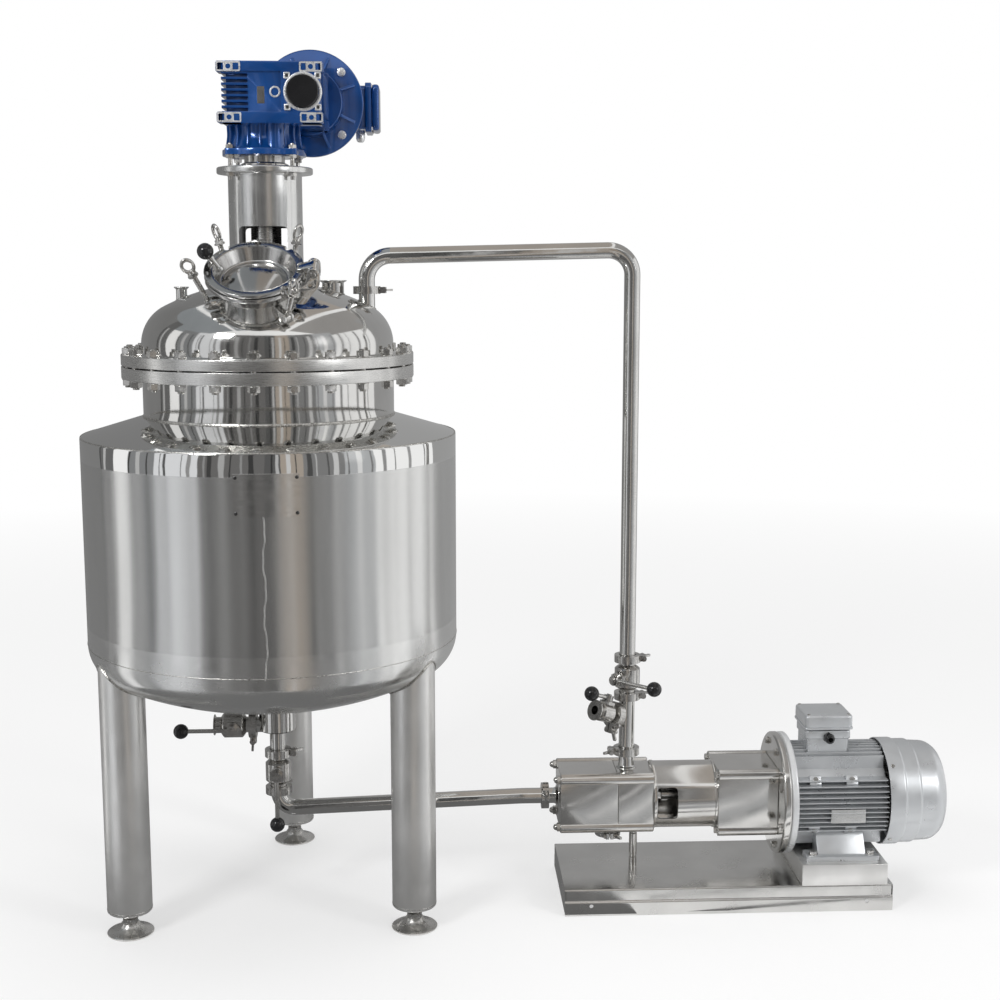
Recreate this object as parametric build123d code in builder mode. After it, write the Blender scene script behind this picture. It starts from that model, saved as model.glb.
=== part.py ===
from build123d import *
from math import asin, atan2, cos, degrees, radians, sin, sqrt
import os

os.makedirs("parts", exist_ok=True)

# Clearances
RUN = 0.05
GAP = 0.3
SEAM = 0.1

# Jacket: the polished outer shell of the tank
JACKET_R = 440.0
JACKET_WALL = 2.0
JACKET_CROWN = 900.0
JACKET_KNUCKLE = 90.0
JACKET_TANGENT_Z = 675.0
JACKET_SHOULDER_Z = 1161.0
JACKET_CONE_RISE = 43.0

# Inner vessel, its neck and its body flange
NECK_R = 293.0
VESSEL_WALL = 4.0
VESSEL_CROWN = 586.0
VESSEL_KNUCKLE = 58.0
VESSEL_TANGENT_Z = 735.0
HEATING_GAP = 50.0
HEATING_WALL = 3.0
HEATING_TOP_Z = 1110.0
FLANGE_R = 340.0
FLANGE_Z = 1294.0
FLANGE_T = 28.0
BODY_GASKET_T = 3.0
BODY_GASKET_WIDTH = 14.0
LID_FLANGE_T = 25.0
BOLT_CIRCLE_R = 325.0
BOLT_COUNT = 24
BOLT_R = 8.0
BOLT_HOLE_R = 9.0
NUT_ACROSS = 24.0
NUT_T = 13.0
BOLT_PROUD = 4.0

# Lid dome and what stands on it
LID_STRAIGHT = 20.0
LID_CROWN = 527.0
LID_KNUCKLE = 100.0
PAD_R = 108.0
PAD_T = 8.0
PORT_X = 153.0
PORT_R = 25.4
PORT_TOP = 1518.0
VENT_X = -200.0
VENT_R = 12.7
VENT_TOP = 1503.0
RETURN_X = 232.0
RETURN_JOINT_Z = 1495.0

# Legs and levelling feet
LEG_R = 52.0
LEG_WALL = 3.0
LEG_CIRCLE_R = 385.0
LEG_ANGLES = (210, 330, 90)
LEG_CAP_T = 8.0
FOOT_R = 54.0
FOOT_H = 55.0
FOOT_RIM = 5.0
FOOT_STEM_R = 17.5
FOOT_SPINDLE_R = 12.0
TOMMY_R = 4.5

# Sanitary tube, ferrules and clamps
TUBE_R = 19.05
TUBE_WALL = 1.65
FERRULE_R = 25.25
FERRULE_RIM = 1.9
FERRULE_T = 4.2
CLAMP_R = 32.0
CLAMP_HALF = 9.0
CLAMP_LIP = 4.2
EAR_REACH = 46.0
CLAMP_SCREW_R = 4.0

# Valves
VALVE_HALF = 47.0
BARREL_R = 31.0
BALL_R = 25.0
BONNET_R = 15.0
BONNET_REACH = 44.0
STEM_R = 6.0
HUB_R = 12.0
HUB_T = 13.0
LEVER_ROD_R = 5.0
LEVER_LENGTH = 120.0
KNOB_R = 18.0
KNOB_SOCKET = 12.0
SMALL_VALVE_HALF = 34.0
SMALL_BARREL_R = 23.0
SMALL_BALL_R = 18.0
SMALL_BORE_R = 11.0
SMALL_BONNET_REACH = 30.0
SMALL_LEVER_LENGTH = 58.0

# Bottom outlet and suction line
COLLAR_R = 44.0
COLLAR_Z = 430.0
SIDE_Z = 443.0
SIDE_JOINT_X = -59.0
BOTTOM_JOINT_Z = 372.0
SUCTION_LOW_Z = 229.0
SUCTION_BEND = 40.0
SUCTION_LEVEL_RUN = 60.0
SUCTION_LEVEL_BEND = 300.0

# Handhole, tilted forward on the lid
HATCH_Y = -260.0
HATCH_Z = 1540.0
HATCH_TILT = 33.0
HATCH_NECK_R = 80.0
HATCH_WALL = 3.0
HATCH_SEAT_R = 94.0
HATCH_FLARE_LOW = -46.0
HATCH_RIM_R = 108.5
HATCH_RIM_LOW = -15.0
HATCH_RIM_TOP = -5.0
COVER_LOW = -2.0
COVER_TOP = 6.0
COVER_VALLEY_R = 70.0
COVER_VALLEY = -24.0
COVER_WALL = 4.0
SWING_ANGLES = {"back_right": 50, "back_left": 130, "left": 192, "front_right": 312}
SWING_PIVOT_R = 104.0
SWING_PIVOT_T = -70.0
SWING_LEAN = 20.0
SWING_ROD_R = 6.0
SWING_SLOT_HALF = 7.5
EYE_RING_R = 11.0
EYE_WIRE_R = 3.5
LUG_T = 6.0
LUG_R = 11.0
HINGE_R = 128.0
HINGE_T = 4.0
HINGE_PIN_R = 6.0
HINGE_KNUCKLE_R = 14.0
HINGE_ARM_HALF = 13.5
HINGE_CHEEK = 9.0
COVER_KNOB_ANGLE = 165.0

# Lantern, seal and bearing housing on the tank's axis
LANTERN_R = 85.0
LANTERN_WALL = 5.0
LANTERN_BASE_R = 105.0
LANTERN_BASE_T = 14.0
LANTERN_TOP_Z = 1775.0
LANTERN_TOP_R = 110.5
LANTERN_TOP_T = 15.0
WINDOW_WIDTH = 110.0
WINDOW_LOW_Z = 1562.0
WINDOW_HIGH_Z = 1640.0
WINDOW_CORNER = 10.0
SHAFT_R = 20.0
BEARING_R = 55.0
BEARING_T = 25.0

# Worm gearbox
WORM_X = 100.0
WORM_RISE = 134.0
GEAR_FLANGE_R = 98.0
GEAR_FLANGE_T = 14.0
GEAR_LOBE_R = 15.0
GEAR_SKIRT_H = 52.0
GEAR_SKIRT_R = 90.0
GEAR_SKIRT_TOP_R = 78.0
GEAR_BODY_H = 134.0
GEAR_LEFT = 82.0
GEAR_RIGHT = 140.0
GEAR_FRONT = 118.0
GEAR_BACK = 118.0
GEAR_PAD = 10.0
WHEEL_R = 78.0
WHEEL_T = 34.0
WORM_R = 21.5
WORM_LENGTH = 90.0
CAP_R = 36.0
CAP_RING_R = 42.0
CAP_T = 9.0

# Agitator motor, flanged to the back of the gearbox
DRIVE_FLANGE_R = 125.0
DRIVE_FLANGE_T = 12.0
DRIVE_HUB_R = 70.0
DRIVE_CORE_R = 82.0
DRIVE_FIN_R = 96.0
DRIVE_LENGTH = 210.0
DRIVE_COWL_R = 99.0
DRIVE_COWL_LENGTH = 78.0
DRIVE_SHAFT_R = 14.0

# Agitator inside the vessel
ANCHOR_GAP = 24.0
ANCHOR_WIDTH = 40.0
ANCHOR_T = 14.0
ANCHOR_TOP_Z = 1120.0

# Pump set: distances along X are from the tank's axis
PUMP_Z = 250.0
PUMP_INLET_X = 657.0
PUMP_CASING_X = 690.0
PUMP_CASING_L = 230.0
PUMP_CASING_SIDE = 150.0
PUMP_CASING_CORNER = 26.0
PUMP_LOBE_R = 15.0
PUMP_CHAMBER_R = 56.0
RISER_X = 859.0
PUMP_OUTLET_Z = 364.0
DRAIN_X = 815.0
DRAIN_R = 12.7
FRAME_R = 82.0
FRAME_WALL = 9.0
FRAME_L = 156.0
PUMP_WINDOW_L = 50.0
PUMP_WINDOW_H = 80.0
COUPLING_SIDE = 172.0
COUPLING_CORNER = 30.0
COUPLING_L = 149.0
COUPLING_BORE_R = 62.0
ADAPTER_R = 150.0
ADAPTER_T = 20.0
PUMP_SHAFT_R = 14.0
IMPELLER_R = 50.0
IMPELLER_T = 22.0

# Pump motor
MOTOR_FLANGE_T = 17.0
MOTOR_CORE_R = 102.0
MOTOR_FIN_R = 128.0
MOTOR_BODY_L = 228.0
MOTOR_COWL_R = 132.0
MOTOR_COWL_L = 155.0
MOTOR_SHAFT_H = 132.0
MOTOR_FOOT_T = 12.0
MOTOR_FOOT_L = 180.0
MOTOR_FOOT_SPREAD = 216.0
FIN_T = 4.0
FIN_PITCH = 17.0
COWL_WALL = 2.5
ROTOR_R = 62.0
FAN_R = 100.0
BOX_L = 112.0
BOX_W = 108.0
BOX_H = 84.0

# Pump base and its support
BASE_X = 695.0
BASE_L = 800.0
BASE_W = 310.0
BASE_H = 65.0
BASE_WALL = 3.0
RISER_BLOCK_L = 210.0
BASE_HOLE_R = 5.0
BASE_HOLE_Z = 24.0
BASE_HOLE_INSET = 64.0
SUPPORT_X = 879.0
SUPPORT_R = 10.0

# Riser, line valve, branch and return pipe
LINE_VALVE_Z = 552.0
BRANCH_Z = 447.0
BRANCH_AZIMUTH = 215.0
BRANCH_RISE = 20.0
BRANCH_JOINT = 44.0
BRANCH_R = 12.7
BRANCH_FERRULE_R = 25.25
RETURN_LOW_Z = 1574.0
RETURN_HIGH_Z = 1589.0
RETURN_BEND = 57.0

# Jacket ports at the back
JACKET_PORT_AZIMUTH = 128.0
JACKET_PORT_LOW_Z = 770.0
JACKET_PORT_HIGH_Z = 1060.0
JACKET_PORT_REACH = 38.0
JACKET_PORT_HOLE_R = 18.2

# Places worked out from the sizes above
TUBE_IN = TUBE_R - TUBE_WALL
FLANGE_TOP = FLANGE_Z + FLANGE_T
LID_FLANGE_Z = FLANGE_TOP + BODY_GASKET_T
LID_FLANGE_TOP = LID_FLANGE_Z + LID_FLANGE_T
LID_TANGENT_Z = LID_FLANGE_TOP + LID_STRAIGHT
FRAME_X = PUMP_CASING_X + PUMP_CASING_L
COUPLING_X = FRAME_X + FRAME_L
ADAPTER_X = COUPLING_X + COUPLING_L
MOTOR_X = ADAPTER_X + ADAPTER_T
MOTOR_BODY_X = MOTOR_X + MOTOR_FLANGE_T
COWL_X = MOTOR_BODY_X + MOTOR_BODY_L
PUMP_REACH = COWL_X + MOTOR_COWL_L
TANK_X = (JACKET_R - PUMP_REACH) / 2
GEAR_Z = LANTERN_TOP_Z + BEARING_T
GEAR_BODY_Z = GEAR_Z + GEAR_FLANGE_T + GEAR_SKIRT_H
WORM_Z = GEAR_Z + WORM_RISE
DRIVE_Y = GEAR_BACK
DRIVE_BODY_Y = DRIVE_Y + DRIVE_FLANGE_T
DRIVE_COWL_Y = DRIVE_BODY_Y + DRIVE_LENGTH
BASE_TOP = PUMP_Z - MOTOR_SHAFT_H

tank = Plane(origin=(TANK_X, 0, 0), x_dir=(1, 0, 0), z_dir=(0, 0, 1))
tank_axis = Axis((TANK_X, 0, 0), (0, 0, 1))
hatch = Plane(
    origin=(TANK_X, HATCH_Y, HATCH_Z),
    x_dir=(1, 0, 0),
    z_dir=(0, -sin(radians(HATCH_TILT)), cos(radians(HATCH_TILT))),
)
pump = Plane(origin=(TANK_X, 0, PUMP_Z), x_dir=(0, 0, 1), z_dir=(1, 0, 0))
drive = Plane(origin=(TANK_X + WORM_X, 0, WORM_Z), x_dir=(1, 0, 0), z_dir=(0, 1, 0))


def section(seat):
    """The half plane through a seat's normal: x is the radius, y the height along the normal."""
    return Plane(seat.origin, x_dir=seat.x_dir, z_dir=seat.y_dir * -1)


def turn(seat, outline, mode=Mode.ADD):
    """Turn an outline of (radius, height) points about a seat's normal."""
    with BuildSketch(section(seat)) as profile:
        with BuildLine():
            Polyline(*outline, close=True)
        make_face()
    revolve(profile.sketch, axis=Axis(seat.origin, seat.z_dir), mode=mode)


def rod(seat, radius, low, high, mode=Mode.ADD):
    """A round bar on a seat's normal, from one height to another."""
    with BuildSketch(seat.offset(low)) as disc:
        Circle(radius)
    extrude(disc.sketch, amount=high - low, mode=mode)


def across(seat):
    """The plane at a seat's origin whose normal is the seat's x axis."""
    return Plane(seat.origin, x_dir=seat.z_dir, z_dir=seat.x_dir)


def outward(azimuth, height):
    """The plane on the tank's axis whose normal points outwards at an azimuth."""
    turned = radians(azimuth)
    return Plane(origin=(TANK_X, 0, height), x_dir=(0, 0, 1), z_dir=(cos(turned), sin(turned), 0))


def draw_dish(radius, crown, knuckle, tangent, offset, side=-1):
    """Draw a dished end's crown and knuckle arcs and return its height on the axis."""
    rise = sqrt((crown - knuckle) ** 2 - (radius - knuckle) ** 2)
    turned = degrees(atan2(rise, radius - knuckle))
    centre = tangent - side * rise
    start = turned if side > 0 else -90
    CenterArc((0, centre), crown + offset, start, 90 - turned)
    CenterArc((radius - knuckle, tangent), knuckle + offset, 0 if side > 0 else -turned, turned)
    return centre + side * (crown + offset)


def save(piece, label):
    """Label a finished piece and write it as its own file."""
    piece.part.label = label
    export_step(piece.part, f"parts/{label}.step")


def ferrule(height, way, tube, rim=FERRULE_R):
    """Outline points of a clamp ferrule, from its face back to the tube wall."""
    return [(rim, height), (rim, height - way * FERRULE_RIM), (tube + 0.5, height - way * FERRULE_T)]


def stub(seat, low, high, tube, wall, rim=FERRULE_R, mode=Mode.ADD):
    """A tube with a clamp ferrule at its upper end."""
    face = ferrule(high, 1, tube, rim)
    turn(seat, [(tube - wall, high)] + face + [(tube, high - FERRULE_T), (tube, low), (tube - wall, low)], mode)


# Spaces that trim what is welded to the dished skins
with BuildPart() as vessel_space:
    with BuildSketch(section(tank)):
        with BuildLine():
            vessel_low = draw_dish(NECK_R, VESSEL_CROWN, VESSEL_KNUCKLE, VESSEL_TANGENT_Z, 0)
            Polyline((NECK_R, VESSEL_TANGENT_Z), (NECK_R, FLANGE_Z), (0, FLANGE_Z), (0, vessel_low))
        make_face()
    revolve(axis=tank_axis)

with BuildPart() as jacket_space:
    with BuildSketch(section(tank)):
        with BuildLine():
            jacket_low = draw_dish(JACKET_R, JACKET_CROWN, JACKET_KNUCKLE, JACKET_TANGENT_Z, 0)
            Polyline(
                (JACKET_R, JACKET_TANGENT_Z),
                (JACKET_R, JACKET_SHOULDER_Z),
                (0, JACKET_SHOULDER_Z),
                (0, jacket_low),
            )
        make_face()
    revolve(axis=tank_axis)

with BuildPart() as lid_space:
    with BuildSketch(section(tank)):
        with BuildLine():
            lid_top = draw_dish(NECK_R, LID_CROWN, LID_KNUCKLE, LID_TANGENT_Z, 0, 1)
            Polyline((NECK_R, LID_TANGENT_Z), (NECK_R, FLANGE_Z), (0, FLANGE_Z), (0, lid_top))
        make_face()
    revolve(axis=tank_axis)

# Inner vessel: dished pot, neck and body flange in one weldment
with BuildPart() as inner_vessel:
    with BuildSketch(section(tank)):
        with BuildLine():
            low = draw_dish(NECK_R, VESSEL_CROWN, VESSEL_KNUCKLE, VESSEL_TANGENT_Z, 0)
            inner_low = draw_dish(NECK_R, VESSEL_CROWN, VESSEL_KNUCKLE, VESSEL_TANGENT_Z, -VESSEL_WALL)
            Polyline(
                (NECK_R, VESSEL_TANGENT_Z),
                (NECK_R, FLANGE_Z),
                (FLANGE_R, FLANGE_Z),
                (FLANGE_R, FLANGE_TOP),
                (NECK_R - VESSEL_WALL, FLANGE_TOP),
                (NECK_R - VESSEL_WALL, VESSEL_TANGENT_Z),
            )
            Line((0, low), (0, inner_low))
        make_face()
    revolve(axis=tank_axis)
    with BuildSketch(tank.offset(FLANGE_Z)):
        with PolarLocations(BOLT_CIRCLE_R, BOLT_COUNT):
            Circle(BOLT_HOLE_R)
    extrude(amount=FLANGE_T, mode=Mode.SUBTRACT)
    rod(tank, TUBE_IN, low - VESSEL_WALL, low + 3 * VESSEL_WALL, Mode.SUBTRACT)
save(inner_vessel, "inner_vessel")

# Heating jacket: a second pot round the first, closed to it by a flat ring
with BuildPart() as heating_jacket:
    with BuildSketch(section(tank)):
        with BuildLine():
            out = HEATING_GAP + HEATING_WALL
            low = draw_dish(NECK_R, VESSEL_CROWN, VESSEL_KNUCKLE, VESSEL_TANGENT_Z, out)
            inner_low = draw_dish(NECK_R, VESSEL_CROWN, VESSEL_KNUCKLE, VESSEL_TANGENT_Z, HEATING_GAP)
            Polyline(
                (NECK_R + out, VESSEL_TANGENT_Z),
                (NECK_R + out, HEATING_TOP_Z),
                (NECK_R + SEAM, HEATING_TOP_Z),
                (NECK_R + SEAM, HEATING_TOP_Z - HEATING_WALL),
                (NECK_R + HEATING_GAP, HEATING_TOP_Z - HEATING_WALL),
                (NECK_R + HEATING_GAP, VESSEL_TANGENT_Z),
            )
            Line((0, low), (0, inner_low))
        make_face()
    revolve(axis=tank_axis)
    rod(tank, TUBE_R + SEAM, low - VESSEL_WALL, vessel_low, Mode.SUBTRACT)
    for height in (JACKET_PORT_LOW_Z, JACKET_PORT_HIGH_Z):
        rod(outward(JACKET_PORT_AZIMUTH, height), JACKET_PORT_HOLE_R, NECK_R + HEATING_GAP / 2, JACKET_R, Mode.SUBTRACT)
save(heating_jacket, "heating_jacket")

# Outer shell: polished skin with a dished bottom and a shallow cone up to the neck
with BuildPart() as outer_shell:
    with BuildSketch(section(tank)):
        with BuildLine():
            low = draw_dish(JACKET_R, JACKET_CROWN, JACKET_KNUCKLE, JACKET_TANGENT_Z, 0)
            inner_low = draw_dish(JACKET_R, JACKET_CROWN, JACKET_KNUCKLE, JACKET_TANGENT_Z, -JACKET_WALL)
            Polyline(
                (JACKET_R, JACKET_TANGENT_Z),
                (JACKET_R, JACKET_SHOULDER_Z),
                (NECK_R + SEAM, JACKET_SHOULDER_Z + JACKET_CONE_RISE),
                (NECK_R + SEAM, JACKET_SHOULDER_Z + JACKET_CONE_RISE - JACKET_WALL),
                (JACKET_R - JACKET_WALL, JACKET_SHOULDER_Z - JACKET_WALL),
                (JACKET_R - JACKET_WALL, JACKET_TANGENT_Z),
            )
            Line((0, low), (0, inner_low))
        make_face()
    revolve(axis=tank_axis)
    rod(tank, TUBE_R + SEAM, low - JACKET_WALL, low + 3 * JACKET_WALL, Mode.SUBTRACT)
    for height in (JACKET_PORT_LOW_Z, JACKET_PORT_HIGH_Z):
        rod(outward(JACKET_PORT_AZIMUTH, height), JACKET_PORT_HOLE_R, NECK_R, JACKET_R + 1, Mode.SUBTRACT)
save(outer_shell, "outer_shell")

# Insulation: fills the space between the heating jacket and the outer shell
with BuildPart() as insulation:
    with BuildSketch(section(tank)):
        with BuildLine():
            skin = JACKET_WALL + GAP
            low = draw_dish(JACKET_R, JACKET_CROWN, JACKET_KNUCKLE, JACKET_TANGENT_Z, -skin)
            out = HEATING_GAP + HEATING_WALL + GAP
            inner_low = draw_dish(NECK_R, VESSEL_CROWN, VESSEL_KNUCKLE, VESSEL_TANGENT_Z, out)
            Polyline(
                (JACKET_R - skin, JACKET_TANGENT_Z),
                (JACKET_R - skin, JACKET_SHOULDER_Z - JACKET_WALL - GAP),
                (NECK_R + GAP, JACKET_SHOULDER_Z + JACKET_CONE_RISE - JACKET_WALL - GAP),
                (NECK_R + GAP, HEATING_TOP_Z + GAP),
                (NECK_R + out, HEATING_TOP_Z + GAP),
                (NECK_R + out, VESSEL_TANGENT_Z),
            )
            Line((0, low), (0, inner_low))
        make_face()
    revolve(axis=tank_axis)
    rod(tank, TUBE_R + GAP, low - JACKET_WALL, vessel_low, Mode.SUBTRACT)
    for height in (JACKET_PORT_LOW_Z, JACKET_PORT_HIGH_Z):
        rod(outward(JACKET_PORT_AZIMUTH, height), JACKET_PORT_HOLE_R, NECK_R, JACKET_R, Mode.SUBTRACT)
save(insulation, "insulation")

# Jacket ports: two ferruled stubs on the shell at the back
with BuildPart() as jacket_ports:
    for height in (JACKET_PORT_LOW_Z, JACKET_PORT_HIGH_Z):
        stub(
            outward(JACKET_PORT_AZIMUTH, height),
            JACKET_R - 2 * JACKET_WALL,
            JACKET_R + JACKET_PORT_REACH,
            TUBE_R,
            TUBE_WALL,
        )
    add(jacket_space.part, mode=Mode.SUBTRACT)
save(jacket_ports, "jacket_ports")

# Body flange gasket, inside the ring of bolts
with BuildPart() as lid_gasket:
    inside = NECK_R - VESSEL_WALL
    turn(
        tank,
        [
            (inside, FLANGE_TOP),
            (inside + BODY_GASKET_WIDTH, FLANGE_TOP),
            (inside + BODY_GASKET_WIDTH, LID_FLANGE_Z),
            (inside, LID_FLANGE_Z),
        ],
    )
save(lid_gasket, "lid_gasket")

# Lid: dome, flange, drive pad and two welded nozzles
with BuildPart() as lid:
    with BuildSketch(section(tank)):
        with BuildLine():
            top = draw_dish(NECK_R, LID_CROWN, LID_KNUCKLE, LID_TANGENT_Z, 0, 1)
            inner_top = draw_dish(NECK_R, LID_CROWN, LID_KNUCKLE, LID_TANGENT_Z, -VESSEL_WALL, 1)
            Polyline(
                (NECK_R, LID_TANGENT_Z),
                (NECK_R, LID_FLANGE_TOP),
                (FLANGE_R, LID_FLANGE_TOP),
                (FLANGE_R, LID_FLANGE_Z),
                (NECK_R - VESSEL_WALL, LID_FLANGE_Z),
                (NECK_R - VESSEL_WALL, LID_TANGENT_Z),
            )
            Line((0, top), (0, inner_top))
        make_face()
    revolve(axis=tank_axis)
    pad_top = lid_top + PAD_T
    with BuildPart(mode=Mode.PRIVATE) as raised:
        rod(tank, PAD_R, LID_TANGENT_Z, pad_top)
        for x, radius, height in ((VENT_X, VENT_R, VENT_TOP), (RETURN_X, TUBE_R, RETURN_JOINT_Z)):
            seat = Plane(origin=(TANK_X + x, 0, 0))
            rim = FERRULE_R if radius == TUBE_R else radius + 4.5
            face = ferrule(height, 1, radius, rim)
            turn(seat, [(0, height)] + face + [(radius, height - FERRULE_T), (radius, LID_TANGENT_Z), (0, LID_TANGENT_Z)])
        add(lid_space.part, mode=Mode.SUBTRACT)
    add(raised.part)
    rod(tank, SHAFT_R + RUN, LID_TANGENT_Z, pad_top, Mode.SUBTRACT)
    rod(hatch, HATCH_NECK_R - HATCH_WALL, 2.2 * SWING_PIVOT_T, HATCH_FLARE_LOW, Mode.SUBTRACT)
    with BuildSketch(tank.offset(LID_TANGENT_Z)):
        with Locations((VENT_X, 0)):
            Circle(VENT_R - TUBE_WALL)
        with Locations((RETURN_X, 0)):
            Circle(TUBE_IN)
        with Locations((PORT_X, 0)):
            Circle(PORT_R - 2 * TUBE_WALL)
    extrude(amount=lid_top, mode=Mode.SUBTRACT)
    with BuildSketch(tank.offset(LID_FLANGE_Z)):
        with PolarLocations(BOLT_CIRCLE_R, BOLT_COUNT):
            Circle(BOLT_HOLE_R)
    extrude(amount=LID_FLANGE_T, mode=Mode.SUBTRACT)
save(lid, "lid")

# Charge nozzle: the spare port on the dome
with BuildPart() as charge_nozzle:
    port_seat = Plane(origin=(TANK_X + PORT_X, 0, 0))
    stub(port_seat, LID_TANGENT_Z, PORT_TOP, PORT_R, TUBE_WALL, PORT_R + 6.6)
    add(lid_space.part, mode=Mode.SUBTRACT)
save(charge_nozzle, "charge_nozzle")

# Lid bolts: studs with a nut at each end
with BuildPart() as lid_bolts:
    with BuildSketch(tank.offset(FLANGE_Z - NUT_T - BOLT_PROUD)):
        with PolarLocations(BOLT_CIRCLE_R, BOLT_COUNT):
            Circle(BOLT_R)
    extrude(amount=LID_FLANGE_TOP - FLANGE_Z + 2 * (NUT_T + BOLT_PROUD))
    for height in (FLANGE_Z - NUT_T, LID_FLANGE_TOP):
        with BuildSketch(tank.offset(height)):
            with PolarLocations(BOLT_CIRCLE_R, BOLT_COUNT):
                RegularPolygon(NUT_ACROSS / 2, 6, major_radius=False)
        extrude(amount=NUT_T)
save(lid_bolts, "lid_bolts")

# Legs: three capped tubes, their tops cut to the shell's dish
with BuildPart() as legs:
    for azimuth in LEG_ANGLES:
        turned = radians(azimuth)
        foot_seat = Plane(origin=(TANK_X + LEG_CIRCLE_R * cos(turned), LEG_CIRCLE_R * sin(turned), 0))
        turn(
            foot_seat,
            [
                (FOOT_SPINDLE_R + SEAM, FOOT_H),
                (LEG_R - LEG_CAP_T, FOOT_H),
                (LEG_R - 0.3 * LEG_CAP_T, FOOT_H + 0.3 * LEG_CAP_T),
                (LEG_R, FOOT_H + LEG_CAP_T),
                (LEG_R, JACKET_TANGENT_Z),
                (LEG_R - LEG_WALL, JACKET_TANGENT_Z),
                (LEG_R - LEG_WALL, FOOT_H + LEG_CAP_T),
                (FOOT_SPINDLE_R + SEAM, FOOT_H + LEG_CAP_T),
            ],
        )
    add(jacket_space.part, mode=Mode.SUBTRACT)
save(legs, "legs")

# Levelling feet: bell-shaped discs on screwed spindles
with BuildPart() as levelling_feet:
    for azimuth in LEG_ANGLES:
        turned = radians(azimuth)
        foot_seat = Plane(origin=(TANK_X + LEG_CIRCLE_R * cos(turned), LEG_CIRCLE_R * sin(turned), 0))
        shoulder = FOOT_STEM_R + 4
        turn(
            foot_seat,
            [
                (0, 0),
                (FOOT_R, 0),
                (FOOT_R, FOOT_RIM),
                (0.72 * FOOT_R, FOOT_RIM + 4),
                (0.5 * FOOT_R, FOOT_RIM + 10),
                (shoulder, 0.5 * FOOT_H),
                (FOOT_STEM_R, 0.55 * FOOT_H),
                (FOOT_STEM_R, FOOT_H),
                (FOOT_SPINDLE_R, FOOT_H),
                (FOOT_SPINDLE_R, 1.6 * FOOT_H),
                (0, 1.6 * FOOT_H),
            ],
        )
        hole = Plane(foot_seat.origin + Vector(0, 0, 0.78 * FOOT_H), x_dir=(1, 0, 0), z_dir=(0, 1, 0))
        rod(hole, TOMMY_R, -FOOT_R, FOOT_R, Mode.SUBTRACT)
save(levelling_feet, "levelling_feet")


def hatch_point(radius, azimuth, height):
    """A point given in the handhole's own frame."""
    turned = radians(azimuth)
    flat = hatch.x_dir * (radius * cos(turned)) + hatch.y_dir * (radius * sin(turned))
    return hatch.origin + flat + hatch.z_dir * height


def hatch_out(azimuth):
    """The direction that points away from the handhole's axis."""
    return hatch_point(1, azimuth, 0) - hatch.origin


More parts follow.
